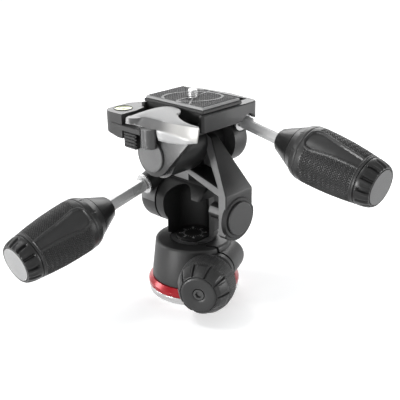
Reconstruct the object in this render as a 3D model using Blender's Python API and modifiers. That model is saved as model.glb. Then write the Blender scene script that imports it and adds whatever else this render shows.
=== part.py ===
"""Three way pan tilt head with two retractable handles and a quick release adapter.

Metres, +Z up. The pan axis is world Z and the underside of the base is z = 0.
"""

import math

import bmesh
import bpy
from mathutils import Matrix, Vector

for old in list(bpy.data.objects):
    bpy.data.objects.remove(old, do_unlink=True)

mm = 0.001
part_name = "three_way_head"

# Sizes that several pieces share.
fit_gap = 0.3 * mm
thread_radius = 4.76 * mm
tilt_axis_y = 2.0 * mm
tilt_axis_z = 58.5 * mm
roll_axis_rise = 40.7 * mm
roll_axis_z = tilt_axis_z + roll_axis_rise
marker_size = 10.0 * mm
merge_distance = 0.001 * mm
round_steps = 28
fine_steps = 36
small_steps = 16

parts = bpy.data.collections.new(part_name)
cutters = bpy.data.collections.new("cutters")
bpy.context.scene.collection.children.link(parts)
bpy.context.scene.collection.children.link(cutters)
cutters.hide_render = True


def material(name, colour, roughness, metallic=0.0):
    made = bpy.data.materials.new(name)
    made.use_nodes = True
    shader = made.node_tree.nodes["Principled BSDF"]
    shader.inputs["Base Color"].default_value = (*colour, 1.0)
    shader.inputs["Roughness"].default_value = roughness
    shader.inputs["Metallic"].default_value = metallic
    return made


black_metal = material("black_satin_metal", (0.035, 0.035, 0.037), 0.45)
grey_metal = material("grey_satin_metal", (0.30, 0.30, 0.31), 0.4, 0.5)
red_metal = material("red_anodised", (0.62, 0.03, 0.05), 0.3, 0.8)
silver_metal = material("silver_metal", (0.78, 0.78, 0.79), 0.22, 1.0)
dark_chrome = material("dark_chrome", (0.25, 0.25, 0.26), 0.15, 1.0)
black_plastic = material("black_plastic", (0.03, 0.03, 0.032), 0.5)
grip_rubber = material("grip_rubber", (0.05, 0.05, 0.05), 0.75)
pad_rubber = material("pad_rubber", (0.16, 0.16, 0.165), 0.8)
grey_plastic = material("grey_plastic", (0.42, 0.42, 0.44), 0.4)
vial_green = material("vial_green", (0.72, 0.80, 0.25), 0.1)


def axis_frame(origin, direction):
    """A matrix whose Z runs along direction from origin."""
    turn = Vector(direction).to_track_quat("Z", "Y").to_matrix().to_4x4()
    return Matrix.Translation(Vector(origin)) @ turn


def empty(name, location, parent=None):
    made = bpy.data.objects.new(name, None)
    made.empty_display_size = marker_size
    parts.objects.link(made)
    made.location = location
    if parent:
        made.parent = parent
        made.location = Vector(location) - parent.matrix_world.translation
    bpy.context.view_layer.update()
    return made


def mesh_object(name, bm, frame=None):
    """An object from a bmesh, placed by frame, in the collection of the parts."""
    if frame:
        bm.transform(frame)
    bmesh.ops.recalc_face_normals(bm, faces=bm.faces)
    if bm.calc_volume(signed=True) < 0:
        bmesh.ops.reverse_faces(bm, faces=bm.faces)
    mesh = bpy.data.meshes.new(name)
    bm.to_mesh(mesh)
    bm.free()
    mesh.shade_smooth()
    mesh.set_sharp_from_angle(angle=math.radians(32))
    made = bpy.data.objects.new(name, mesh)
    parts.objects.link(made)
    return made


def turned(name, profile, frame=None, steps=round_steps, ring=False):
    """A solid turned about its frame's Z from (radius, height) points."""
    bm = bmesh.new()
    points = [bm.verts.new((radius, 0, height)) for radius, height in profile]
    edges = [bm.edges.new(pair) for pair in zip(points, points[1:])]
    if ring:
        edges.append(bm.edges.new((points[-1], points[0])))
    bmesh.ops.spin(
        bm, geom=points + edges, cent=(0, 0, 0), axis=(0, 0, 1), angle=math.tau, steps=steps
    )
    bmesh.ops.remove_doubles(bm, verts=bm.verts, dist=merge_distance)
    return mesh_object(name, bm, frame)


def rod(name, radius, low, high, frame=None, steps=round_steps):
    return turned(name, [(0, low), (radius, low), (radius, high), (0, high)], frame, steps)


def block(name, low, high, frame=None):
    """A box between two corners."""
    bm = bmesh.new()
    bmesh.ops.create_cube(bm, size=1.0)
    low, high = Vector(low), Vector(high)
    size = high - low
    bm.transform(Matrix.Translation((low + high) / 2) @ Matrix.Diagonal((*size, 1.0)))
    return mesh_object(name, bm, frame)


def prism(name, outline, low, high, frame=None):
    """A flat outline in its frame's XY plane, carried from low to high along Z."""
    bm = bmesh.new()
    face = bm.faces.new([bm.verts.new((x, y, low)) for x, y in outline])
    raised = bmesh.ops.extrude_face_region(bm, geom=[face])
    moved = [item for item in raised["geom"] if isinstance(item, bmesh.types.BMVert)]
    bmesh.ops.translate(bm, verts=moved, vec=(0, 0, high - low))
    return mesh_object(name, bm, frame)


def arc(centre, radius, start, end, count):
    """Points on a circle between two angles in degrees."""
    angles = [math.radians(start + (end - start) * i / count) for i in range(count + 1)]
    return [(centre[0] + radius * math.cos(a), centre[1] + radius * math.sin(a)) for a in angles]


def bevel(piece, width, segments=2, angle=30):
    edge = piece.modifiers.new("bevel", "BEVEL")
    edge.width = width
    edge.segments = segments
    edge.limit_method = "ANGLE"
    edge.angle_limit = math.radians(angle)
    edge.use_clamp_overlap = True
    return piece


def combine(piece, others, operation, solver="EXACT"):
    for other in others:
        step = piece.modifiers.new(operation.lower(), "BOOLEAN")
        step.object = other
        step.operation = operation
        step.solver = solver
        parts.objects.unlink(other)
        cutters.objects.link(other)
        other.hide_render = True
        other.display_type = "WIRE"
    return piece


def join(piece, *others):
    return combine(piece, others, "UNION")


def cut(piece, *others, solver="EXACT"):
    return combine(piece, others, "DIFFERENCE", solver)


def finish(piece, look, parent):
    """Gives the piece its material and hangs it on the empty of its body."""
    piece.data.materials.append(look)
    piece.parent = parent
    piece.matrix_parent_inverse = parent.matrix_world.inverted()
    return piece


base = empty("base", (0, 0, 0))
pan = empty("pan_axis", (0, 0, 0), base)
tilt = empty("front_tilt_axis", (0, tilt_axis_y, tilt_axis_z), pan)
roll = empty("lateral_tilt_axis", (0, 0, roll_axis_z), tilt)

# The base: a silver disc, a red ring and the drum that the head turns in.
disc_radius = 29.5 * mm
disc_height = 4.6 * mm
disc_edge = 0.6 * mm
bush_radius = 8.0 * mm
bush_height = 14.0 * mm
finish(
    turned(
        "base_disc",
        [
            (bush_radius + fit_gap, 0),
            (disc_radius - disc_edge, 0),
            (disc_radius, disc_edge),
            (disc_radius, disc_height - disc_edge),
            (disc_radius - disc_edge, disc_height),
            (bush_radius + fit_gap, disc_height),
        ],
        steps=fine_steps,
        ring=True,
    ),
    silver_metal,
    base,
)

bush_chamfer = 0.7 * mm
finish(
    turned(
        "thread_bush",
        [
            (thread_radius + bush_chamfer, 0),
            (bush_radius, 0),
            (bush_radius, bush_height),
            (thread_radius, bush_height),
            (thread_radius, bush_chamfer),
        ],
        ring=True,
        steps=small_steps,
    ),
    silver_metal,
    base,
)

ring_lip = 0.5 * mm
ring_radius = disc_radius + ring_lip
ring_slope = 1.9 * mm
ring_top_radius = ring_radius - ring_slope
ring_low = disc_height + fit_gap
ring_rim = 2.6 * mm
ring_height = 5.3 * mm
notch_radius = 1.3 * mm
notch_depth = 0.8 * mm
notch_count = 12
red_ring = turned(
    "red_ring",
    [
        (bush_radius + fit_gap, ring_low),
        (ring_radius, ring_low),
        (ring_radius, ring_low + ring_rim),
        (ring_top_radius, ring_low + ring_height),
        (bush_radius + fit_gap, ring_low + ring_height),
    ],
    steps=fine_steps,
    ring=True,
)
notch_bm = bmesh.new()
for i in range(notch_count):
    turn = Matrix.Rotation(math.tau * (i + 0.5) / notch_count, 4, "Z")
    place = turn @ Matrix.Translation((ring_radius - notch_depth + notch_radius, 0, ring_low))
    bmesh.ops.create_cone(
        notch_bm,
        cap_ends=True,
        segments=12,
        radius1=notch_radius,
        radius2=notch_radius,
        depth=ring_rim,
        matrix=place,
    )
finish(cut(red_ring, mesh_object("ring_notches", notch_bm)), red_metal, base)

drum_low = ring_low + ring_height + fit_gap
drum_step = 0.8 * mm
drum_radius = ring_top_radius - drum_step
drum_lean = 2.6 * mm
drum_top_radius = drum_radius - drum_lean
drum_skirt = 2.0 * mm
drum_top = 35.9 * mm
drum_shoulder = 1.9 * mm
race_radius = 15.3 * mm
race_low = 28.2 * mm
shoulder_points = arc(
    (drum_top_radius - drum_shoulder, drum_top - drum_shoulder), drum_shoulder, 8, 90, 4
)
drum = turned(
    "drum",
    [
        (bush_radius + fit_gap, drum_low),
        (drum_radius, drum_low),
        (drum_radius, drum_low + drum_skirt),
        *shoulder_points,
        (race_radius, drum_top),
        (race_radius, race_low),
        (bush_radius + fit_gap, race_low),
    ],
    steps=fine_steps,
    ring=True,
)

# The split clamp that locks the pan: its screw runs past the race, level and off to one side.
lock_turn = math.radians(24.2)
lock_direction = Vector((math.sin(lock_turn), -math.cos(lock_turn), 0))
lock_side = Vector((math.cos(lock_turn), math.sin(lock_turn), 0))
lock_shift = 1.7 * mm
lock_offset = (race_radius + drum_top_radius) / 2 + lock_shift
lock_height = 22.0 * mm
lock_frame = axis_frame(lock_side * lock_offset + Vector((0, 0, lock_height)), lock_direction)
clamp_radius = 10.4 * mm
clamp_back = -13.0 * mm
clamp_round = 4.5 * mm
clamp_reach = 12.0 * mm
clamp_front = ring_radius - clamp_reach
clamp_front_edge = 1.5 * mm
slot_place = 12.5 * mm
slot_width = 1.6 * mm
slot_inner = 13.0 * mm
slot_outer = 40.0 * mm
clamp_boss = turned(
    "clamp_boss",
    [
        (0, clamp_back),
        *arc((clamp_radius - clamp_round, clamp_back + clamp_round), clamp_round, -90, 0, 4),
        (clamp_radius, clamp_front - clamp_front_edge),
        (clamp_radius - clamp_front_edge, clamp_front),
        (0, clamp_front),
    ],
    lock_frame,
)
screw_radius = 3.0 * mm
screw_start = 2.0 * mm
lock_bore = rod(
    "lock_bore", screw_radius + fit_gap, screw_start, clamp_front * 2, lock_frame, small_steps
)
clamp_frame = Matrix(
    (
        (lock_direction.x, lock_side.x, 0, 0),
        (lock_direction.y, lock_side.y, 0, 0),
        (0, 0, 1, 0),
        (0, 0, 0, 1),
    )
)
clamp_slot = block(
    "clamp_slot",
    (slot_place - slot_width / 2, slot_inner, drum_low + drum_skirt / 2),
    (slot_place + slot_width / 2, slot_outer, drum_top * 2),
    clamp_frame,
)
race_cut = rod("race_cut", race_radius, race_low, drum_top * 2, steps=fine_steps)
join(drum, clamp_boss)
finish(cut(drum, race_cut, clamp_slot, lock_bore), black_metal, base)

spindle_radius = 11.0 * mm
spindle_neck = 7.0 * mm
finish(
    turned(
        "pan_spindle",
        [
            (0, bush_height + fit_gap),
            (spindle_neck, bush_height + fit_gap),
            (spindle_neck, race_low + fit_gap),
            (spindle_radius, race_low + fit_gap),
            (spindle_radius, drum_top),
            (0, drum_top),
        ],
    ),
    silver_metal,
    base,
)

dial_radius = 11.1 * mm
dial_height = 2.1 * mm
dial_rim = 0.8 * mm
dial_dish = 0.3 * mm
dial_low = drum_top + fit_gap / 2
finish(
    turned(
        "pan_dial",
        [
            (0, dial_low),
            (dial_radius, dial_low),
            (dial_radius, dial_low + dial_height),
            (dial_radius - dial_rim, dial_low + dial_height),
            (dial_radius - dial_rim, dial_low + dial_height - dial_dish),
            (0, dial_low + dial_height - dial_dish),
        ],
    ),
    black_plastic,
    base,
)

# The pan lock knob turns on the clamp's screw.
knob = empty("pan_knob_axis", lock_frame.translation, base)
knob_tuck = 3.5 * mm
knob_low = ring_radius - knob_tuck
knob_length = 24.5 * mm
knob_face = knob_low + knob_length
knob_radius = 17.5 * mm
knob_back_radius = 13.5 * mm
knob_widest_start = 3.5 * mm
knob_widest_low = knob_low + knob_widest_start
knob_widest_end = 12.0 * mm
knob_widest_high = knob_low + knob_widest_end
knob_shoulder_start = 16.0 * mm
knob_shoulder = knob_low + knob_shoulder_start
knob_shoulder_radius = 16.6 * mm
knob_rim_radius = 12.4 * mm
knob_bore = 4.0 * mm
notch_half = 0.7 * mm
knob_notches = 10
knob_notch_depth = 1.0 * mm
knob_groove_lean = math.radians(33)
disc_sink = 1.6 * mm
disc_seat = 11.5 * mm
pan_knob = turned(
    "pan_knob",
    [
        (knob_bore, knob_low),
        (knob_back_radius, knob_low),
        (knob_radius, knob_widest_low),
        (knob_radius, knob_widest_high),
        (knob_shoulder_radius, knob_shoulder),
        (knob_rim_radius, knob_face - disc_sink / 4),
        (knob_rim_radius - disc_sink / 4, knob_face),
        (disc_seat, knob_face),
        (disc_seat, knob_face - disc_sink),
        (knob_bore, knob_face - disc_sink),
    ],
    lock_frame,
    ring=True,
)
groove_bm = bmesh.new()
for i in range(knob_notches):
    turn = lock_frame @ Matrix.Rotation(math.tau * i / knob_notches, 4, "Z")
    size = Matrix.Diagonal((knob_radius, notch_half * 2, knob_face - knob_shoulder, 1))
    lean = Matrix.Rotation(knob_groove_lean, 4, "Y")
    middle = (knob_shoulder_radius + knob_rim_radius) / 2 + knob_radius / 2 - knob_notch_depth
    place = Matrix.Translation((middle, 0, (knob_face + knob_shoulder) / 2))
    bmesh.ops.create_cube(groove_bm, size=1.0, matrix=turn @ place @ lean @ size)
finish(cut(pan_knob, mesh_object("knob_grooves", groove_bm)), black_plastic, knob)

knob_disc_radius = disc_seat - fit_gap / 2
hex_radius = 2.2 * mm
hex_depth = 1.2 * mm
screw_head_radius = 3.4 * mm
knob_disc = turned(
    "pan_knob_disc",
    [
        (screw_head_radius + fit_gap / 2, knob_face - disc_sink + fit_gap / 2),
        (knob_disc_radius, knob_face - disc_sink + fit_gap / 2),
        (knob_disc_radius, knob_face + disc_sink / 4),
        (screw_head_radius + fit_gap / 2, knob_face + disc_sink / 3),
    ],
    lock_frame,
    ring=True,
)
finish(knob_disc, grey_plastic, knob)

lock_screw = turned(
    "pan_lock_screw",
    [
        (0, screw_start + fit_gap),
        (screw_radius, screw_start + fit_gap),
        (screw_radius, knob_face - disc_sink),
        (screw_head_radius, knob_face - disc_sink + fit_gap / 2),
        (screw_head_radius, knob_face),
        (0, knob_face),
    ],
    lock_frame,
    steps=small_steps,
)
hex_cut = rod("hex_cut", hex_radius, knob_face - hex_depth, knob_face * 2, lock_frame, 6)
finish(cut(lock_screw, hex_cut), dark_chrome, knob)

collar_radius = 6.5 * mm
collar_length = 4.4 * mm
collar_low = knob_low - fit_gap - collar_length
finish(
    turned(
        "pan_knob_collar",
        [
            (screw_radius + fit_gap, collar_low),
            (collar_radius, collar_low),
            (collar_radius, knob_low - fit_gap),
            (screw_radius + fit_gap, knob_low - fit_gap),
        ],
        lock_frame,
        ring=True,
        steps=small_steps,
    ),
    dark_chrome,
    knob,
)

# The turret turns on the drum: a lipped foot, an open column and the cross barrel of the tilt.
foot_radius = 15.0 * mm
foot_bore = 11.5 * mm
foot_low = race_low + fit_gap
foot_lip = 1.1 * mm
foot_inner_lip = 13.2 * mm
foot_step = 0.6 * mm
foot_top = drum_top + foot_lip
column_radius = 16.4 * mm
column_low = foot_top + foot_step
barrel_radius = 16.5 * mm
barrel_left = -20.0 * mm
barrel_right = 16.9 * mm
pocket_radius = 12.4 * mm
pocket_rise = 2.5 * mm
pocket_top = tilt_axis_z + pocket_rise
right_wall_front = 2.5 * mm
turret = turned(
    "turret",
    [
        (foot_bore, foot_low),
        (foot_radius - fit_gap, foot_low),
        (foot_radius - fit_gap, drum_top),
        (foot_radius, drum_top + fit_gap),
        (foot_radius, foot_top),
        (foot_inner_lip, foot_top + foot_step),
        (foot_inner_lip, column_low),
        (foot_bore, column_low),
    ],
    steps=fine_steps,
    ring=True,
)
column_edge = 0.8 * mm
column = turned(
    "turret_column",
    [
        (0, foot_top - foot_lip / 2),
        (foot_inner_lip, foot_top - foot_lip / 2),
        (column_radius - column_edge, column_low),
        (column_radius, column_low + column_edge),
        (column_radius, tilt_axis_z),
        (0, tilt_axis_z),
    ],
    steps=fine_steps,
)
barrel_edge = 1.0 * mm
pin_radius_left = 9.0 * mm
pin_radius_right = 3.2 * mm
pin_depth = 3.2 * mm
tilt_frame = axis_frame((0, tilt_axis_y, tilt_axis_z), (1, 0, 0))
barrel = turned(
    "turret_barrel",
    [
        (0, barrel_left + pin_depth),
        (pin_radius_left + fit_gap, barrel_left + pin_depth),
        (pin_radius_left + fit_gap, barrel_left),
        (barrel_radius - barrel_edge, barrel_left),
        (barrel_radius, barrel_left + barrel_edge),
        (barrel_radius, barrel_right - barrel_edge),
        (barrel_radius - barrel_edge, barrel_right),
        (0, barrel_right),
    ],
    tilt_frame,
    steps=fine_steps,
)
pocket = turned(
    "pocket",
    [
        (0, dial_low),
        (pocket_radius, dial_low),
        *arc((0, pocket_top), pocket_radius, 0, 80, 6),
        (0, pocket_top + pocket_radius),
    ],
)
arch_half = pocket_radius - fit_gap / 3
arch_outline = [
    (-arch_half, dial_low - fit_gap / 2),
    (arch_half, dial_low - fit_gap / 2),
    *arc((0, pocket_top), arch_half, 0, 180, 12),
]
arch_frame = Matrix(((1, 0, 0, 0), (0, 0, -1, 0), (0, 1, 0, 0), (0, 0, 0, 1)))
arch = prism("pocket_arch", arch_outline, 0, barrel_radius * 2, arch_frame)
right_cut = block(
    "right_wall_cut",
    (0, -barrel_radius * 2, foot_top + foot_lip),
    (barrel_right * 2, right_wall_front, pocket_top + pocket_radius / 2),
)
join(turret, column, barrel)
finish(cut(turret, pocket, arch, right_cut), black_metal, pan)

# The bracket tilts about X on the turret: a clamp lobe, a side arm and the barrel of the roll.
lobe_radius = 16.6 * mm
lobe_inner = barrel_left - fit_gap
lobe_outer = -36.0 * mm
lobe_round = 5.0 * mm
lobe = turned(
    "tilt_bracket",
    [
        (0, lobe_outer),
        *arc((lobe_radius - lobe_round, lobe_outer + lobe_round), lobe_round, -90, 0, 5),
        (lobe_radius, lobe_inner),
        (0, lobe_inner),
    ],
    tilt_frame,
    steps=fine_steps,
)
arm_inner = barrel_right + fit_gap
arm_outer = 37.0 * mm
arm_wall = 6.5 * mm
arm_radius = 15.2 * mm
arm_depth = 13.5 * mm
arm_back = tilt_axis_y + arm_depth
arm_front = -9.0 * mm
arm_edge = 1.2 * mm
knee_rise = 16.2 * mm
knee_height = tilt_axis_z + knee_rise
ridge_rise = 8.3 * mm
ridge_height = roll_axis_z + ridge_rise
ridge_front = 3.5 * mm
ridge_back = 7.8 * mm
hub_radius = 5.2 * mm
# The arm seen from the side: a disc cut off at the front, then a wedge that leans back and thins.
chord_angle = math.degrees(math.acos((arm_front - tilt_axis_y) / arm_radius))
side_outline = [
    *arc((tilt_axis_y, tilt_axis_z), arm_radius, -chord_angle, 10, 14),
    (arm_back, tilt_axis_z + arm_radius / 3),
    (arm_back, knee_height),
    (ridge_back, ridge_height),
    (ridge_front, ridge_height),
    (arm_front, knee_height),
]
side_frame = Matrix(((0, 0, 1, 0), (1, 0, 0, 0), (0, 1, 0, 0), (0, 0, 0, 1)))
arm = prism("arm", side_outline, -arm_outer, arm_outer * 2, side_frame)
# The same arm seen from the front: upright to its knee, then leaning in to the roll's barrel.
shoulder_x = 14.5 * mm
shoulder_rise = 5.8 * mm
shoulder_z = roll_axis_z + shoulder_rise
crown_x = 9.0 * mm
web_left = -9.0 * mm
web_left_low_rise = 25.5 * mm
web_left_low = tilt_axis_z + web_left_low_rise
web_left_high_rise = 0.8 * mm
web_left_high = roll_axis_z + web_left_high_rise
rib_left_rise = 23.1 * mm
rib_left_z = tilt_axis_z + rib_left_rise
rib_right_rise = 15.2 * mm
rib_right_z = tilt_axis_z + rib_right_rise
front_outline = [
    (arm_outer, 0),
    (arm_outer, knee_height),
    (shoulder_x, shoulder_z),
    (crown_x, ridge_height - fit_gap),
    (0, ridge_height - fit_gap),
    (web_left, web_left_high),
    (web_left, web_left_low),
    (0, rib_left_z),
    (arm_outer - arm_wall, rib_right_z),
    (arm_outer - arm_wall, 0),
]
arm_view = prism("arm_view", front_outline, -arm_outer, arm_outer, arch_frame)
hub = rod("hub", hub_radius, arm_inner, arm_outer - arm_edge, tilt_frame, small_steps)
bridge_low = tilt_axis_z + barrel_radius + 2 * fit_gap
bridge_left = -33.0 * mm
neck_left = -12.0 * mm
neck_right = 0.6 * mm
bridge_front = -4.0 * mm
bridge_back = 14.0 * mm
strap_top_rise = 21.5 * mm
strap_top = tilt_axis_z + strap_top_rise
neck_top_rise = 31.5 * mm
neck_top = tilt_axis_z + neck_top_rise
neck = block("neck", (neck_left, bridge_front, bridge_low), (neck_right, bridge_back, neck_top))
strap = bevel(
    block("strap", (bridge_left, bridge_front, bridge_low), (neck_right, bridge_back, strap_top)),
    arm_edge,
)
roll_frame = axis_frame((0, 0, roll_axis_z), (0, -1, 0))
roll_barrel_radius = 12.0 * mm
roll_barrel_front = 28.4 * mm
roll_barrel_back = -17.5 * mm
roll_neck_radius = 8.0 * mm
roll_neck_front = 3.0 * mm
roll_neck_back = -6.5 * mm
roll_barrel = turned(
    "roll_barrel",
    [
        (0, roll_barrel_back),
        (roll_barrel_radius, roll_barrel_back),
        (roll_barrel_radius, roll_neck_back),
        (roll_neck_radius, roll_neck_back),
        (roll_neck_radius, roll_neck_front),
        (roll_barrel_radius, roll_neck_front),
        (roll_barrel_radius, roll_barrel_front),
        (0, roll_barrel_front),
    ],
    roll_frame,
    fine_steps,
)
bell_radius = 13.4 * mm
bell_drop = 2.0 * mm
bell_back = -5.0 * mm
bell_step = 0.8 * mm
bell = turned(
    "roll_bell",
    [
        (0, bell_back),
        (bell_radius, bell_back),
        (bell_radius, roll_barrel_front - bell_step),
        (0, roll_barrel_front - bell_step),
    ],
    axis_frame((0, 0, roll_axis_z - bell_drop), (0, -1, 0)),
    fine_steps,
)
# The bell ends where the arm's leaning front begins.
bell_slope = math.atan2(ridge_front - arm_front, ridge_height - knee_height)
bell_trim = block(
    "bell_trim",
    (-arm_outer, 0, -arm_outer),
    (arm_outer, arm_outer, arm_outer * 2),
    Matrix.Translation((0, arm_front + fit_gap, knee_height))
    @ Matrix.Rotation(-bell_slope, 4, "X"),
)
cut(bell, bell_trim)
# The three-sided hollow between the ribs at the front of the arm.
hollow_front = 14.0 * mm
hollow_back = -7.0 * mm
hollow_left = 3.0 * mm
hollow_right = 28.2 * mm
hollow_low_rise = 20.4 * mm
hollow_low = tilt_axis_z + hollow_low_rise
hollow_high_rise = 0.9 * mm
hollow_high = roll_axis_z + hollow_high_rise
hollow_shares = ((1.0, 0.0), (0.28, 1.0), (0.0, 0.9), (0.06, 0.245))
hollow_outline = [
    (hollow_left + (hollow_right - hollow_left) * along, hollow_low + (hollow_high - hollow_low) * up)
    for along, up in hollow_shares
]
hollow = prism("hollow", hollow_outline, hollow_back, hollow_front, arch_frame)
rib_edge = 0.5 * mm
combine(arm, [arm_view], "INTERSECT")
cut(arm, hollow)
bevel(arm, rib_edge, 1)
swing_clear = rod(
    "swing_clear",
    barrel_radius + fit_gap,
    lobe_inner + fit_gap / 2,
    arm_inner - fit_gap / 2,
    tilt_frame,
    fine_steps,
)
boss_height = 1.0 * mm
boss_outer = arm_outer + boss_height
arm_cap_boss = turned(
    "arm_cap_boss",
    [
        (0, arm_outer - arm_edge),
        (arm_radius - arm_edge, arm_outer - arm_edge),
        (arm_radius - 2 * arm_edge, boss_outer),
        (0, boss_outer),
    ],
    tilt_frame,
)
cap_radius = 10.6 * mm
cap_seat = rod(
    "cap_seat",
    cap_radius + 2 * fit_gap,
    boss_outer - 2 * fit_gap,
    boss_outer * 2,
    tilt_frame,
    fine_steps,
)
left_pin_end = -26.3 * mm
right_pin_end = 32.2 * mm
left_pin_bore = rod(
    "left_pin_bore",
    pin_radius_left + fit_gap,
    left_pin_end,
    lobe_inner + fit_gap,
    tilt_frame,
)
right_pin_bore = rod(
    "right_pin_bore",
    pin_radius_right + fit_gap,
    arm_inner - fit_gap,
    right_pin_end,
    tilt_frame,
    small_steps,
)

# The handles: each is a fixed socket, a turning rod and a grip that slides along the rod.
handle_slope = math.radians(12)
socket_radius = 8.0 * mm
socket_tip_radius = 6.4 * mm
socket_depth = 16.0 * mm
washer_radius = 6.6 * mm
washer_height = 1.3 * mm
shank_radius = 3.2 * mm
tilt_handle_point = Vector((-26.3 * mm, -18.0 * mm, 70.1 * mm))
tilt_handle_way = Vector((0, -math.cos(handle_slope), -math.sin(handle_slope)))
roll_handle_point = Vector((20.3 * mm, 25.5 * mm, 111.7 * mm))
roll_slope = math.radians(10.8)
roll_handle_way = Vector((math.cos(roll_slope), 0, -math.sin(roll_slope)))
tilt_handle_frame = axis_frame(tilt_handle_point, tilt_handle_way)
roll_handle_frame = axis_frame(roll_handle_point, roll_handle_way)


def socket(name, frame, depth):
    return turned(
        name,
        [
            (0, -depth),
            (socket_radius, -depth),
            (socket_radius, -depth / 2),
            (socket_tip_radius, -washer_height - fit_gap),
            (0, -washer_height - fit_gap),
        ],
        frame,
        small_steps,
    )


def shank_bore(name, frame, depth):
    return rod(name, shank_radius + fit_gap, -depth, socket_depth, frame, small_steps)


shank_depth = 14.0 * mm
join(
    lobe,
    arm,
    hub,
    neck,
    strap,
    roll_barrel,
    bell,
    arm_cap_boss,
    socket("tilt_socket", tilt_handle_frame, socket_depth * 2),
)
cut(
    lobe,
    swing_clear,
    cap_seat,
)
cut(
    lobe,
    left_pin_bore,
    right_pin_bore,
    shank_bore("tilt_shank_bore", tilt_handle_frame, shank_depth + fit_gap),
    solver="MANIFOLD",
)
finish(lobe, black_metal, tilt)

finish(
    rod(
        "tilt_pin_left",
        pin_radius_left,
        left_pin_end + fit_gap,
        barrel_left + pin_depth - fit_gap,
        tilt_frame,
    ),
    silver_metal,
    tilt,
)
finish(
    rod(
        "tilt_pin_right",
        pin_radius_right,
        barrel_right + fit_gap,
        right_pin_end - fit_gap,
        tilt_frame,
        small_steps,
    ),
    silver_metal,
    tilt,
)
cap_height = 1.6 * mm
cap_dome = 0.4 * mm
finish(
    turned(
        "tilt_cap",
        [
            (0, boss_outer - fit_gap),
            (cap_radius, boss_outer - fit_gap),
            (cap_radius, boss_outer + cap_height - cap_dome),
            (cap_radius - cap_dome, boss_outer + cap_height),
            (0, boss_outer + cap_height),
        ],
        tilt_frame,
    ),
    black_plastic,
    tilt,
)
print("base, turret and bracket made")

# Each handle in its own frame: Z runs out along the rod from the washer's face.
rod_flats = 7.7 * mm
rod_length = 64.0 * mm
rod_bevel = 0.5 * mm
nose_start = 30.5 * mm
nose_radius = 6.2 * mm
nose_end = 44.0 * mm
nose_end_radius = 13.0 * mm
collar_end = 52.0 * mm
collar_end_radius = 16.8 * mm
grip_radius = 17.1 * mm
grip_belly = 60.0 * mm
grip_waist = 75.0 * mm
grip_waist_radius = 16.5 * mm
grip_end = 92.5 * mm
grip_end_radius = 14.4 * mm
end_radius = 12.7 * mm
core_radius = 8.8 * mm
hex_clear = 0.35 * mm
end_length = 9.0 * mm
end_face = grip_end + end_length
end_disc_radius = 10.6 * mm
end_disc_height = 1.0 * mm
end_notches = 8
panel_low = 56.0 * mm
panel_margin = 4.5 * mm
panel_high = grip_end - panel_margin
panel_neck = 4.2 * mm
panel_wide = 6.4 * mm
panel_floor = 13.4 * mm


def panel_outline():
    """The long waisted panel that is sunk into the grip, wide towards the head."""
    middle = (panel_low + panel_high) / 2
    return [
        (panel_low, -panel_wide / 2),
        (panel_low + panel_wide, -panel_wide),
        (middle, -panel_neck),
        (panel_high - panel_neck, -panel_neck),
        (panel_high, -panel_neck / 2),
        (panel_high, panel_neck / 2),
        (panel_high - panel_neck, panel_neck),
        (middle, panel_neck),
        (panel_low + panel_wide, panel_wide),
        (panel_low, panel_wide / 2),
    ]


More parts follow.
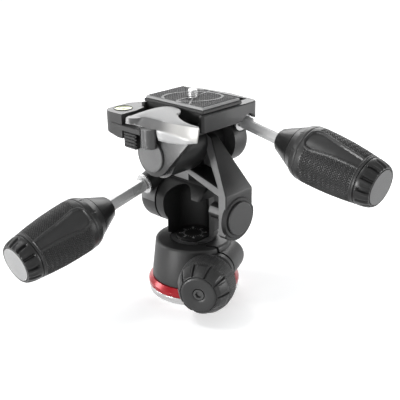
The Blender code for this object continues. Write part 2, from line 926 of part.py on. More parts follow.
def handle(name, frame, parent, facing):
    """The rod on a turning empty and the grip on a sliding one."""
    turning = empty(name + "_turn", frame.translation, parent)
    sliding = empty(name + "_slide", frame.translation, turning)
    finish(
        turned(
            name + "_washer",
            [
                (shank_radius + fit_gap, -washer_height),
                (washer_radius, -washer_height),
                (washer_radius, 0),
                (shank_radius + fit_gap, 0),
            ],
            frame,
            small_steps,
            ring=True,
        ),
        silver_metal,
        turning,
    )
    bar = rod(name + "_rod", rod_flats / math.sqrt(3), fit_gap, rod_length, frame, 6)
    shank = rod(name + "_shank", shank_radius, -shank_depth, rod_flats, frame, small_steps)
    finish(join(bevel(bar, rod_bevel, 1, 40), shank), silver_metal, turning)

    bore = rod_flats / math.sqrt(3) + hex_clear
    finish(
        turned(
            name + "_nose",
            [
                (bore, nose_start),
                (nose_radius, nose_start),
                (nose_radius + nose_radius / 6, nose_start + nose_radius / 6),
                (nose_end_radius, nose_end),
                (bore, nose_end),
            ],
            frame,
            ring=True,
        ),
        black_plastic,
        sliding,
    )
    finish(
        turned(
            name + "_core",
            [
                (bore, nose_end + fit_gap),
                (core_radius, nose_end + fit_gap),
                (core_radius, grip_end),
                (bore, grip_end),
            ],
            frame,
            small_steps,
            ring=True,
        ),
        black_plastic,
        sliding,
    )
    sleeve = turned(
        name + "_grip",
        [
            (core_radius + fit_gap, nose_end + fit_gap),
            (nose_end_radius, nose_end + fit_gap),
            (collar_end_radius, collar_end),
            (grip_radius, grip_belly),
            (grip_waist_radius, grip_waist),
            (grip_end_radius, grip_end),
            (core_radius + fit_gap, grip_end),
        ],
        frame,
        ring=True,
    )
    panels = []
    for i in range(2):
        turn = Matrix.Rotation(math.radians(facing + 180 * i), 4, "Z")
        lay = Matrix(((0, 0, 1, 0), (0, 1, 0, 0), (1, 0, 0, 0), (0, 0, 0, 1)))
        panels.append(
            prism(
                f"{name}_panel_cut_{i}",
                panel_outline(),
                panel_floor,
                grip_radius * 2,
                frame @ turn @ lay,
            )
        )
    finish(cut(sleeve, *panels), grip_rubber, sliding)

    end_low = grip_end + fit_gap
    cap = turned(
        name + "_end",
        [
            (0, end_low),
            (grip_end_radius, end_low),
            (end_radius + fit_gap, end_face - end_disc_height * 2),
            (end_radius - end_disc_height, end_face),
            (end_disc_radius + fit_gap, end_face),
            (end_disc_radius + fit_gap, end_face - end_disc_height),
            (0, end_face - end_disc_height),
        ],
        frame,
    )
    end_bm = bmesh.new()
    tooth = grip_end_radius / 4
    for i in range(end_notches):
        turn = frame @ Matrix.Rotation(math.tau * (i + 0.5) / end_notches, 4, "Z")
        place = Matrix.Translation((grip_end_radius + tooth / 3, 0, end_low + tooth))
        size = Matrix.Diagonal((tooth, tooth / 2, tooth * 3, 1))
        bmesh.ops.create_cube(end_bm, size=1.0, matrix=turn @ place @ size)
    finish(cut(cap, mesh_object(name + "_end_notches", end_bm)), black_plastic, sliding)
    finish(
        rod(
            name + "_end_disc",
            end_disc_radius,
            end_face - end_disc_height + fit_gap / 2,
            end_face + fit_gap,
            frame,
        ),
        grey_plastic,
        sliding,
    )


tilt_panel_turn = 43
roll_panel_turn = 122
handle("tilt_handle", tilt_handle_frame, tilt, tilt_panel_turn)

# The roll bracket turns about Y: a drop-shaped front plate, a deck and the rear clamp lobe.
plate_front = 33.2 * mm
plate_back = roll_barrel_front + fit_gap
drop_radius = 13.4 * mm
drop_tip_x = 30.0 * mm
deck_low = roll_axis_z + roll_barrel_radius + 2 * fit_gap
deck_top_rise = 17.2 * mm
deck_top = roll_axis_z + deck_top_rise
deck_left = -16.0 * mm
deck_right = 21.5 * mm
drop_outline = [
    *arc((0, 0), drop_radius, 150, 316, 20),
    (drop_tip_x, deck_low - roll_axis_z),
    (drop_tip_x, deck_low - roll_axis_z + 2 * fit_gap),
    (deck_left, deck_low - roll_axis_z + 2 * fit_gap),
]
drop_frame = Matrix(((1, 0, 0, 0), (0, 0, -1, 0), (0, 1, 0, roll_axis_z), (0, 0, 0, 1)))
drop = prism("roll_bracket", drop_outline, plate_back, plate_front, drop_frame)
drop_edge = 1.0 * mm
bevel(drop, drop_edge)
deck_front = -22.3 * mm
deck_back = 31.5 * mm
lip_height = 0.9 * mm
deck = block(
    "deck", (deck_left, deck_front, deck_low), (deck_right, deck_back, deck_top + fit_gap)
)
lip = block(
    "lip",
    (deck_left, -plate_front + drop_edge, deck_low + fit_gap / 2),
    (deck_right, deck_front + drop_edge, deck_low + lip_height),
)
rear_start = 18.0 * mm
rear_end = 32.5 * mm
rear_radius = 16.0 * mm
rear_shift = 4.5 * mm
rear_frame = axis_frame((rear_shift, 0, roll_axis_z), (0, 1, 0))
rear_lobe = turned(
    "rear_lobe",
    [
        (0, rear_start),
        (rear_radius, rear_start),
        *arc((rear_radius - lobe_round, rear_end - lobe_round), lobe_round, 0, 90, 5),
        (0, rear_end),
    ],
    rear_frame,
    steps=fine_steps,
)
roll_pin_radius = 6.0 * mm
roll_pin_front = plate_front
roll_pin_back = -28.0 * mm
print("tilt handle made")

# The quick release adapter sits on the deck: a shallow tray, a shelf for the lever and a lug.
adapter_left = -27.0 * mm
adapter_right = 25.5 * mm
adapter_front = -16.5 * mm
adapter_back = 34.5 * mm
adapter_low_rise = 14.2 * mm
adapter_low = roll_axis_z + adapter_low_rise
adapter_top_rise = 25.1 * mm
adapter_top = roll_axis_z + adapter_top_rise
adapter_wall = 2.5 * mm
floor_low = deck_top + fit_gap
floor_top_rise = 20.0 * mm
floor_top = roll_axis_z + floor_top_rise
corner_radius = 5.0 * mm
front_corner = 2.5 * mm
back_bow = 2.5 * mm
shelf_front = -41.0 * mm
shelf_left = -33.0 * mm
shelf_right = 3.0 * mm
shelf_low_rise = 13.8 * mm
shelf_low = roll_axis_z + shelf_low_rise
shelf_top_rise = 16.8 * mm
shelf_top = roll_axis_z + shelf_top_rise
adapter_outline = [
    *arc((adapter_right - front_corner, adapter_front + front_corner), front_corner, -90, 0, 3),
    *arc((adapter_right - corner_radius, adapter_back - corner_radius), corner_radius, 0, 80, 4),
    (0, adapter_back + back_bow),
    *arc((adapter_left + corner_radius, adapter_back - corner_radius), corner_radius, 100, 180, 4),
    (adapter_left, adapter_front),
]
adapter = prism("adapter", adapter_outline, adapter_low, adapter_top)
bevel(adapter, arm_edge / 2, 1)
shelf_outline = [
    (shelf_left, adapter_front + adapter_wall),
    (shelf_left, shelf_front + corner_radius),
    (shelf_left + corner_radius, shelf_front),
    (shelf_right - corner_radius, shelf_front),
    (shelf_right, shelf_front + corner_radius),
    (shelf_right + corner_radius * 3, adapter_front + adapter_wall),
]
shelf = prism("shelf", shelf_outline, shelf_low, shelf_top)
lug_left = -36.6 * mm
lug_right = -18.6 * mm
lug_front = -40.2 * mm
lug_top_rise = 23.3 * mm
lug_top = roll_axis_z + lug_top_rise
lug_low_rise = 8.3 * mm
lug_low = roll_axis_z + lug_low_rise
lug_back = -8.0 * mm
lug_round = 7.0 * mm
lug_slope_rise = 3.0 * mm
lug_slope_angle = math.radians(12)
lug_outline = [
    (lug_right, lug_front),
    (lug_right, lug_front / 2 + lug_back),
    (adapter_left + adapter_wall, lug_back),
    (adapter_left - corner_radius / 2, lug_back),
    (lug_left, lug_back - corner_radius * 2),
    *arc((lug_left + lug_round, lug_front + lug_round), lug_round, 180, 270, 5),
]
lug = prism("lug", lug_outline, lug_low, lug_top)
lug_slope = block(
    "lug_slope",
    (-lug_round * 4, -barrel_radius * 2, -lug_round * 2),
    (lug_round * 4, barrel_radius * 2, 0),
    Matrix.Translation((lug_left, lug_front, lug_low + lug_slope_rise))
    @ Matrix.Rotation(lug_slope_angle, 4, "Y"),
)
cut(lug, lug_slope)
deck_room = block(
    "deck_room",
    (deck_left - fit_gap, -plate_front, adapter_low - adapter_wall),
    (deck_right + fit_gap, adapter_back - adapter_wall, deck_top + fit_gap),
)
seat_left = -24.2 * mm
seat_right = 22.8 * mm
seat_back = 18.4 * mm
plate_seat = block(
    "plate_seat",
    (seat_left, adapter_front - adapter_wall, floor_top),
    (seat_right, seat_back, adapter_top * 2),
)
cam_left = -18.4 * mm
cam_right = 21.5 * mm
cam_back = -12.0 * mm
cam_low_rise = 17.4 * mm
cam_low = roll_axis_z + cam_low_rise
cam_room = block(
    "cam_room",
    (cam_left, shelf_front, cam_low),
    (cam_right, cam_back, adapter_top * 2),
)
rear_cut_depth = 2.0 * mm
rear_recess = block(
    "rear_recess",
    (seat_left + corner_radius, seat_back + adapter_wall, adapter_top - rear_cut_depth),
    (seat_right - corner_radius, adapter_back - adapter_wall, adapter_top * 2),
)
rod_notch = rod(
    "rod_notch",
    washer_radius + fit_gap,
    -socket_depth,
    socket_depth,
    roll_handle_frame,
    small_steps,
)
# The lever with its cam, on an upright pin in the shelf.
lever_axis = Vector((-1.0 * mm, -33.2 * mm, 0))
pin_low_rise = 10.8 * mm
pin_low = roll_axis_z + pin_low_rise
pin_high_rise = 17.8 * mm
pin_high = roll_axis_z + pin_high_rise
lever_pin_radius = 4.4 * mm
lever = empty("lever_axis", (lever_axis.x, lever_axis.y, pin_high), roll)

print("roll bracket and adapter outlined")

rod_room = rod(
    "rod_room", socket_radius + fit_gap, -socket_depth * 2, 0, roll_handle_frame, small_steps
)
join(drop, deck, lip, rear_lobe)
deck_trim = block(
    "deck_trim",
    (-arm_outer, -arm_outer, deck_top),
    (arm_outer, arm_outer, deck_top * 2),
)
join(drop, socket("roll_socket", roll_handle_frame, socket_depth))
pin_bore_front = rod(
    "pin_bore_front", roll_pin_radius + fit_gap, plate_back - fit_gap, plate_front * 2, roll_frame
)
pin_bore_back = rod(
    "pin_bore_back", roll_pin_radius + fit_gap, roll_pin_back - fit_gap, -rear_start + fit_gap, roll_frame
)
washer_room = rod(
    "washer_room",
    washer_radius + fit_gap,
    -washer_height - fit_gap,
    socket_depth * 2,
    roll_handle_frame,
)
pin_pocket = rod(
    "pin_pocket",
    lever_pin_radius + fit_gap,
    pin_low - fit_gap,
    deck_top,
    Matrix.Translation(lever_axis),
    small_steps,
)
cut(drop, deck_trim, solver="MANIFOLD")
cut(drop, pin_pocket, washer_room)
roll_shank_bore = shank_bore("roll_shank_bore", roll_handle_frame, shank_depth + fit_gap)
cut(drop, pin_bore_front, pin_bore_back, roll_shank_bore, solver="MANIFOLD")
finish(drop, black_metal, roll)
barrel_bore = rod("barrel_bore", roll_pin_radius + fit_gap, -plate_front, plate_front, roll_frame)
cut(lobe, barrel_bore, solver="MANIFOLD")
finish(
    rod("roll_pin", roll_pin_radius, roll_pin_back, roll_pin_front, roll_frame),
    silver_metal,
    roll,
)
roll_cap_radius = 10.0 * mm
finish(
    turned(
        "roll_cap",
        [
            (0, plate_front + fit_gap),
            (roll_cap_radius, plate_front + fit_gap),
            (roll_cap_radius, plate_front + cap_height),
            (roll_cap_radius - cap_dome, plate_front + cap_height + cap_dome),
            (0, plate_front + cap_height + cap_dome),
        ],
        roll_frame,
    ),
    black_plastic,
    roll,
)
handle("roll_handle", roll_handle_frame, roll, roll_panel_turn)

join(adapter, shelf, lug)
lever_pin_hole = rod(
    "lever_pin_hole",
    lever_pin_radius + fit_gap,
    pin_low,
    pin_high * 2,
    Matrix.Translation(lever_axis),
    small_steps,
)
level_x = -28.5 * mm
level_y = -30.0 * mm
level_radius = 6.0 * mm
level_depth = 4.0 * mm
level_seat = rod(
    "level_seat",
    level_radius,
    lug_top - level_depth,
    lug_top * 2,
    Matrix.Translation((level_x, level_y, 0)),
    small_steps,
)
finish(
    cut(
        adapter,
        deck_room,
        plate_seat,
        cam_room,
        rear_recess,
        rod_notch,
        rod_room,
        lever_pin_hole,
        level_seat,
    ),
    black_metal,
    roll,
)
finish(
    turned(
        "lever_pin",
        [
            (0, pin_low),
            (lever_pin_radius, pin_low),
            (lever_pin_radius, pin_high),
            (0, pin_high),
        ],
        Matrix.Translation(lever_axis),
        small_steps,
    ),
    dark_chrome,
    roll,
)

# The lever's outline seen from above, as shares of its length from the tab to the tip.
lever_length = 56.0 * mm
lever_left = -17.5 * mm
lever_front = -41.0 * mm
lever_shares = (
    (0.055, 0.05), (0.035, 0.09), (0.025, 0.15), (0.035, 0.22), (0.08, 0.30), (0.14, 0.355),
    (0.21, 0.395), (0.29, 0.413), (0.38, 0.402), (0.46, 0.365), (0.56, 0.315), (0.685, 0.25),
    (0.81, 0.21), (0.92, 0.185),
    (1.00, 0.17), (0.995, 0.14), (0.815, 0.13), (0.59, 0.14), (0.36, 0.15), (0.235, 0.12),
    (0.17, 0.05), (0.11, 0.00),
)
lever_outline = [
    (lever_left + along * lever_length, lever_front + across * lever_length)
    for along, across in lever_shares
]
lever_low_rise = 18.1 * mm
lever_low = roll_axis_z + lever_low_rise
lever_high_rise = 30.8 * mm
lever_high = roll_axis_z + lever_high_rise
lever_front_top_rise = 22.1 * mm
lever_front_top = roll_axis_z + lever_front_top_rise
lever_slope = math.radians(14)
lever_flat = 7.0 * mm
lever_edge = 0.6 * mm
tongue = prism("clamp_lever", lever_outline, lever_low, lever_high)
wing_start_share = 0.5
wing_outline = [
    point
    for point, share in zip(lever_outline, lever_shares)
    if share[0] > wing_start_share and share[1] < wing_start_share
]
wing_low_rise = 14.0 * mm
wing_low = roll_axis_z + wing_low_rise
wing = prism("lever_wing", wing_outline, wing_low, lever_front_top)
lever_slice = block(
    "lever_slice",
    (-lever_length, -lever_length, 0),
    (lever_length, lever_length, lever_length),
    Matrix.Translation((0, lever_front + lever_flat, lever_front_top))
    @ Matrix.Rotation(lever_slope, 4, "X"),
)
join(tongue, wing)
cut(tongue, lever_slice)
finish(bevel(tongue, lever_edge), silver_metal, lever)

# The ribbed catch below the lever's tab.
catch_low_rise = 3.3 * mm
catch_low = roll_axis_z + catch_low_rise
catch_high = shelf_low - fit_gap
catch_left = -17.6 * mm
catch_right = -6.6 * mm
catch_front = -40.4 * mm
catch_back = -36.0 * mm
catch_rib = 0.8 * mm
catch_ribs = 4
catch = empty("catch_axis", (0, catch_front, catch_high), roll)
catch_body = block(
    "safety_catch", (catch_left, catch_front, catch_low), (catch_right, catch_back, catch_high)
)
catch_edge = 0.9 * mm
bevel(catch_body, catch_edge, 1)
catch_bm = bmesh.new()
for i in range(catch_ribs):
    height = catch_low + (catch_high - catch_low) * (i + 1) / (catch_ribs + 1)
    size = Matrix.Diagonal((lever_length, catch_rib * 2, catch_rib, 1))
    place = Matrix.Translation((catch_left, catch_front, height))
    bmesh.ops.create_cube(catch_bm, size=1.0, matrix=place @ size)
finish(cut(catch_body, mesh_object("catch_grooves", catch_bm)), black_plastic, catch)

# The bubble level in the lug.
level_place = Matrix.Translation((level_x, level_y, 0))
finish(
    rod(
        "level_vial",
        level_radius - fit_gap,
        lug_top - level_depth + fit_gap / 2,
        lug_top + fit_gap,
        level_place,
        small_steps,
    ),
    vial_green,
    roll,
)

# The quick release plate: a key between the walls, a flange over them, a rubber pad and the screw.
quick_low = floor_top + fit_gap
key_left = -23.8 * mm
key_right = 22.4 * mm
key_front = -14.6 * mm
key_back = 18.0 * mm
flange_left = -26.0 * mm
flange_right = 24.6 * mm
flange_front = -15.0 * mm
flange_back = 19.5 * mm
flange_low = adapter_top + fit_gap
flange_top_rise = 27.1 * mm
flange_top = roll_axis_z + flange_top_rise
flange_edge = 0.4 * mm
quick_inset = 2.6 * mm
quick_top_rise = 28.7 * mm
quick_top = roll_axis_z + quick_top_rise
pad_inset = 3.0 * mm
pad_height = 1.1 * mm
screw_x = 1.0 * mm
screw_y = 0.6 * mm
camera_screw_radius = 3.1 * mm
screw_collar = 6.0 * mm
plate_chin = 3.4 * mm
quick = empty("plate_lift", (0, 0, quick_low), roll)


def tapered(name, low, high, inset):
    """A box between two corners whose top is smaller than its foot by inset on each side."""
    bm = bmesh.new()
    bmesh.ops.create_cube(bm, size=1.0)
    middle = (Vector(low) + Vector(high)) / 2
    size = Vector(high) - Vector(low)
    for vert in bm.verts:
        narrowing = 2 * inset if vert.co.z > 0 else 0
        vert.co.x *= size.x - narrowing
        vert.co.y *= size.y - narrowing
        vert.co.z *= size.z
    bm.transform(Matrix.Translation(middle))
    return mesh_object(name, bm)


quick_plate = tapered(
    "quick_plate",
    (flange_left, flange_front, flange_top),
    (flange_right, flange_back, quick_top),
    quick_inset,
)
flange = bevel(
    block(
        "flange",
        (flange_left, flange_front, flange_low),
        (flange_right, flange_back, flange_top + flange_edge / 2),
    ),
    flange_edge,
    1,
)
key = block("key", (key_left, key_front, quick_low), (key_right, key_back, flange_top))
join(quick_plate, flange, key)
screw_place = Matrix.Translation((screw_x, screw_y, 0))
screw_hole = turned(
    "screw_hole",
    [
        (0, quick_low - pad_height),
        (screw_collar + fit_gap, quick_low - pad_height),
        (screw_collar + fit_gap, quick_top - 3 * pad_height),
        (camera_screw_radius + fit_gap, quick_top - 3 * pad_height),
        (camera_screw_radius + fit_gap, quick_top * 2),
        (0, quick_top * 2),
    ],
    screw_place,
    small_steps,
)
finish(cut(quick_plate, screw_hole), black_metal, quick)
pad = block(
    "plate_pad",
    (flange_left + pad_inset, flange_front + pad_inset, quick_top + fit_gap / 3),
    (flange_right - pad_inset, flange_back - pad_inset, quick_top + pad_height),
)
pad_hole_radius = 4.4 * mm
slot_half = 2.2 * mm
pad_hole = rod("pad_hole", pad_hole_radius, quick_low, quick_top * 2, screw_place, small_steps)
pad_slot = block(
    "pad_slot",
    (screw_x - slot_half / 2, flange_front, quick_top),
    (screw_x + slot_half / 2, screw_y, quick_top * 2),
)
finish(cut(pad, pad_hole, pad_slot), pad_rubber, quick)

thread_height = 4.5 * mm
camera_turn = empty("camera_screw_axis", (screw_x, screw_y, quick_top), quick)
finish(
    turned(
        "camera_screw",
        [
            (0, quick_low + plate_chin),
            (screw_collar, quick_low + plate_chin),
            (screw_collar, quick_top - 3 * pad_height - fit_gap),
            (camera_screw_radius, quick_top - 3 * pad_height - fit_gap),
            (camera_screw_radius, quick_top + pad_height + thread_height - fit_gap),
            (camera_screw_radius - 2 * fit_gap, quick_top + pad_height + thread_height),
            (0, quick_top + pad_height + thread_height),
        ],
        screw_place,
        small_steps,
    ),
    silver_metal,
    camera_turn,
)
print("part made:", len([o for o in parts.objects if o.type == "MESH"]), "pieces")
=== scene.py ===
import math

import bmesh
import bpy
from mathutils import Matrix, Vector


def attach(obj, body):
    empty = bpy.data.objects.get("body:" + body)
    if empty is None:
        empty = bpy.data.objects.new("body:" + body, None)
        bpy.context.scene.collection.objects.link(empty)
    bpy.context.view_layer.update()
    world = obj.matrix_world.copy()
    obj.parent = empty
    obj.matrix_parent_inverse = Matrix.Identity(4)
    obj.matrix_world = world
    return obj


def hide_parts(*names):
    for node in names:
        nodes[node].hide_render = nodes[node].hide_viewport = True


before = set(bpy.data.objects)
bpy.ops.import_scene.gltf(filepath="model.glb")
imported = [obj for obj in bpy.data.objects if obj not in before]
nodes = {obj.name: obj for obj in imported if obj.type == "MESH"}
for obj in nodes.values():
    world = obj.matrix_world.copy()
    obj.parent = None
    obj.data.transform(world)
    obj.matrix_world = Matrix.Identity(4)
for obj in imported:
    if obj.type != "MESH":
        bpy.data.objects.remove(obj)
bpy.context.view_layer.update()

mm = 0.001
mergeReach = 0.001 * mm
onAxis = 0.0001 * mm


def linkNew(name, kind):
    made = bpy.data.objects.new(name, kind)
    bpy.context.scene.collection.objects.link(made)
    return made


def addNode(tree, kind, values=None, **settings):
    made = tree.nodes.new(kind)
    for key, value in settings.items():
        setattr(made, key, value)
    for key, value in (values or {}).items():
        made.inputs[key].default_value = value
    return made


def inMetres(points):
    return [(radius * mm, height * mm) for radius, height in points]


plainLook = {
    "metallic": 0.0, "coat": 0.0, "coatRoughness": 0.2, "specular": 0.5, "saturation": 0.0,
    "stretch": (1, 1, 1), "cloud": 60, "cloudDetail": 3.0, "grain": 1800, "grainDetail": 2.0,
    "speck": 0.25, "bump": 0.15, "grainHeight": 0.1,
}


# Every finish starts here: a broad noise moves the colour and the gloss,
# and a fine one specks the colour and lifts the grain.
def finish(name, look):
    look = {**plainLook, **look}
    made = bpy.data.materials.new(name)
    made.use_nodes = True
    tree = made.node_tree
    shader = tree.nodes["Principled BSDF"]
    shader.inputs["Metallic"].default_value = look["metallic"]
    shader.inputs["Coat Weight"].default_value = look["coat"]
    shader.inputs["Coat Roughness"].default_value = look["coatRoughness"]
    shader.inputs["Specular IOR Level"].default_value = look["specular"]
    coords = addNode(tree, "ShaderNodeTexCoord")
    stretch = addNode(tree, "ShaderNodeMapping", {"Scale": look["stretch"]})
    tree.links.new(coords.outputs["Object"], stretch.inputs["Vector"])
    cloud = addNode(tree, "ShaderNodeTexNoise", {"Scale": look["cloud"], "Detail": look["cloudDetail"]})
    grain = addNode(tree, "ShaderNodeTexNoise", {"Scale": look["grain"], "Detail": look["grainDetail"]})
    for noise in (cloud, grain):
        tree.links.new(stretch.outputs["Vector"], noise.inputs["Vector"])
    ramp = addNode(tree, "ShaderNodeMix", data_type="RGBA")
    ramp.inputs["A"].default_value = (*look["dark"], 1)
    ramp.inputs["B"].default_value = (*look["light"], 1)
    tree.links.new(cloud.outputs["Fac"], ramp.inputs["Factor"])
    speck = addNode(tree, "ShaderNodeMix", {"Factor": look["speck"]}, data_type="RGBA", blend_type="OVERLAY")
    tree.links.new(ramp.outputs["Result"], speck.inputs["A"])
    tree.links.new(grain.outputs["Color"], speck.inputs["B"])
    bleach = addNode(tree, "ShaderNodeHueSaturation", {"Saturation": look["saturation"]})
    tree.links.new(speck.outputs["Result"], bleach.inputs["Color"])
    tree.links.new(bleach.outputs["Color"], shader.inputs["Base Color"])
    gloss = addNode(tree, "ShaderNodeMapRange")
    gloss.inputs["To Min"].default_value = look["rough"][0]
    gloss.inputs["To Max"].default_value = look["rough"][1]
    tree.links.new(cloud.outputs["Fac"], gloss.inputs["Value"])
    tree.links.new(gloss.outputs["Result"], shader.inputs["Roughness"])
    bump = addNode(tree, "ShaderNodeBump", {"Strength": look["bump"], "Distance": look["grainHeight"] * mm})
    tree.links.new(grain.outputs["Fac"], bump.inputs["Height"])
    tree.links.new(bump.outputs["Normal"], shader.inputs["Normal"])
    return made


castBlack = finish("castBlack", {
    "dark": (0.007, 0.007, 0.0074), "light": (0.014, 0.014, 0.0145), "rough": (0.4, 0.47), "bump": 0.5,
    "grain": 2400, "specular": 0.36,
})
# Lighter copies of the black cast finish: painted light for faces that look towards the lamps.
castPaintedLight = finish("castPaintedLight", {
    "dark": (0.09, 0.09, 0.093), "light": (0.15, 0.15, 0.153), "rough": (0.3, 0.4), "bump": 0.5,
    "grain": 2600, "specular": 0.35,
})
castPaintedHalfLight = finish("castPaintedHalfLight", {
    "dark": (0.035, 0.035, 0.037), "light": (0.06, 0.06, 0.063), "rough": (0.3, 0.4), "bump": 0.5,
    "grain": 2600, "specular": 0.35,
})
smoothBlack = finish("smoothBlack", {
    "dark": (0.008, 0.008, 0.0085), "light": (0.015, 0.015, 0.016), "rough": (0.28, 0.36), "bump": 0.12,
    "grain": 3000, "specular": 0.28,
})
rubberBlack = finish("rubberBlack", {
    "dark": (0.012, 0.012, 0.0125), "light": (0.024, 0.024, 0.0245), "rough": (0.34, 0.44), "bump": 0.35,
    "grain": 2600, "specular": 0.3,
})
panelBlack = finish("panelBlack", {
    "dark": (0.018, 0.019, 0.019), "light": (0.032, 0.033, 0.033), "rough": (0.3, 0.38), "bump": 0.15,
    "grain": 3200, "specular": 0.3,
})
padGrey = finish("padGrey", {
    "dark": (0.06, 0.06, 0.062), "light": (0.09, 0.09, 0.093), "rough": (0.5, 0.62), "bump": 0.3,
    "grain": 2200, "specular": 0.3,
})
padLight = finish("padLight", {
    "dark": (0.2, 0.2, 0.205), "light": (0.28, 0.28, 0.285), "rough": (0.5, 0.62), "bump": 0.2,
    "grain": 2200, "specular": 0.3,
})
# One disc finish in three tones, set by how lit each disc looks: painted shade, painted half light and painted
# light.
discPaintedShade = finish("discPaintedShade", {
    "dark": (0.035, 0.035, 0.036), "light": (0.06, 0.06, 0.062), "rough": (0.34, 0.44), "metallic": 0.2,
    "bump": 0.6, "grain": 2800, "specular": 0.3,
})
discPaintedHalfLight = finish("discPaintedHalfLight", {
    "dark": (0.08, 0.08, 0.082), "light": (0.13, 0.13, 0.133), "rough": (0.34, 0.44), "metallic": 0.2,
    "bump": 0.6, "grain": 2800, "specular": 0.3,
})
discPaintedLight = finish("discPaintedLight", {
    "dark": (0.18, 0.18, 0.185), "light": (0.25, 0.25, 0.255), "rough": (0.42, 0.52), "metallic": 0.1,
    "bump": 0.5, "grain": 2800, "specular": 0.3,
})
redAnodised = finish("redAnodised", {
    "dark": (0.2, 0.008, 0.012), "light": (0.32, 0.02, 0.027), "rough": (0.24, 0.34), "metallic": 0.35,
    "saturation": 1.05, "speck": 0.12, "bump": 0.08, "coat": 0.2, "coatRoughness": 0.15, "specular": 0.4,
})
turnedSilver = finish("turnedSilver", {
    "dark": (0.4, 0.4, 0.41), "light": (0.52, 0.52, 0.53), "rough": (0.22, 0.32), "metallic": 0.8,
    "bump": 0.08, "stretch": (0.25, 0.25, 9), "grain": 700,
})
rodSteel = finish("rodSteel", {
    "dark": (0.4, 0.415, 0.44), "light": (0.52, 0.535, 0.56), "rough": (0.24, 0.32), "metallic": 0.35,
    "bump": 0.05, "grain": 900, "speck": 0.12,
})
satinAlloy = finish("satinAlloy", {
    "dark": (0.22, 0.216, 0.209), "light": (0.275, 0.271, 0.263), "rough": (0.36, 0.46), "metallic": 0.2,
    "bump": 0.2, "grain": 2600, "speck": 0.14, "specular": 0.4,
})
darkChrome = finish("darkChrome", {
    "dark": (0.03, 0.03, 0.032), "light": (0.05, 0.05, 0.053), "rough": (0.2, 0.28), "metallic": 0.3,
    "bump": 0.05, "grain": 1400, "specular": 0.7,
})
markWhite = finish("markWhite", {
    "dark": (0.45, 0.45, 0.45), "light": (0.6, 0.6, 0.6), "rough": (0.45, 0.55), "bump": 0.1,
})
print("finishes made")

cadLooks = {
    "base_disc": turnedSilver, "thread_bush": turnedSilver, "red_ring": redAnodised, "drum": castBlack,
    "pan_spindle": turnedSilver, "pan_dial": smoothBlack, "pan_knob_collar": darkChrome,
    "pan_lock_screw": darkChrome, "turret": castBlack, "tilt_bracket": castBlack,
    "tilt_pin_left": turnedSilver, "tilt_pin_right": turnedSilver, "tilt_cap": discPaintedShade,
    "tilt_handle_washer": turnedSilver, "tilt_handle_rod": rodSteel, "tilt_handle_nose": smoothBlack,
    "tilt_handle_core": smoothBlack, "tilt_handle_end_disc": discPaintedLight, "roll_bracket": castBlack,
    "roll_pin": turnedSilver, "roll_cap": discPaintedHalfLight, "adapter": castBlack, "safety_catch": smoothBlack,
    "quick_plate": castBlack, "roll_handle_washer": turnedSilver, "roll_handle_rod": rodSteel,
    "roll_handle_nose": smoothBlack, "roll_handle_core": smoothBlack, "roll_handle_end_disc": discPaintedHalfLight,
}
# The width of each rounded edge, in millimetres.
edgeWidths = {
    "adapter": 0.4, "quick_plate": 0.25, "tilt_bracket": 0.35, "turret": 0.35, "drum": 0.3, "roll_bracket": 0.35,
    "safety_catch": 0.2, "red_ring": 0.3, "base_disc": 0.2, "tilt_cap": 0.2, "roll_cap": 0.2,
    "tilt_handle_rod": 0.2, "roll_handle_rod": 0.2, "tilt_handle_nose": 0.25, "roll_handle_nose": 0.25,
    "tilt_handle_end_disc": 0.15, "roll_handle_end_disc": 0.15, "tilt_handle_washer": 0.15,
    "roll_handle_washer": 0.15,
}
edgeRounding = {"weld": 0.005 * mm, "segments": 2, "angle": math.radians(28)}
# Faces that look along a direction, and the lighter copy of the cast finish that they get: painted light, where
# those faces catch the lamps.
paintedLightFaces = {
    "adapter": [(castPaintedHalfLight, (1, 0, 0), 0.9), (castPaintedHalfLight, (0, 0, 1), 0.85)],
    "tilt_bracket": [(castPaintedLight, (0, -1, 0.35), 0.93)],
    "roll_bracket": [(castPaintedHalfLight, (0, -1, 0), 0.97)],
    "turret": [(castPaintedHalfLight, (0, 0, 1), 0.95)],
    "quick_plate": [(castPaintedHalfLight, (0, 0, 1), 0.95)],
}
for name, look in cadLooks.items():
    piece = nodes[name]
    piece.data.materials.clear()
    piece.data.materials.append(look)
    for face in piece.data.polygons:
        face.material_index = 0
        face.use_smooth = True
    if "custom_normal" in piece.data.attributes:
        piece.data.attributes.remove(piece.data.attributes["custom_normal"])
    # Painted light: faces that look along the direction take the lighter copy.
    for paintedLightLook, direction, least in paintedLightFaces.get(name, ()):
        piece.data.materials.append(paintedLightLook)
        for face in piece.data.polygons:
            if face.normal.dot(Vector(direction).normalized()) > least:
                face.material_index = len(piece.data.materials) - 1
    if name in edgeWidths:
        weld = piece.modifiers.new("weld", "WELD")
        weld.merge_threshold = edgeRounding["weld"]
        edge = piece.modifiers.new("edge", "BEVEL")
        edge.width = edgeWidths[name] * mm
        edge.segments = edgeRounding["segments"]
        edge.limit_method = "ANGLE"
        edge.angle_limit = edgeRounding["angle"]
        edge.harden_normals = True
    piece.data.set_sharp_from_angle(angle=edgeRounding["angle"])
print("metal finishes on the frame")


def axisFrame(origin, direction):
    turn = Vector(direction).to_track_quat("Z", "Y").to_matrix().to_4x4()
    return Matrix.Translation(Vector(origin)) @ turn


def pieceFrom(name, bm, place, look, smoothAngle=32):
    if place:
        bm.transform(place)
    bmesh.ops.recalc_face_normals(bm, faces=bm.faces)
    if bm.calc_volume(signed=True) < 0:
        bmesh.ops.reverse_faces(bm, faces=bm.faces)
    mesh = bpy.data.meshes.new(name)
    bm.to_mesh(mesh)
    bm.free()
    mesh.materials.append(look)
    mesh.shade_smooth()
    mesh.set_sharp_from_angle(angle=math.radians(smoothAngle))
    return linkNew(name, mesh)


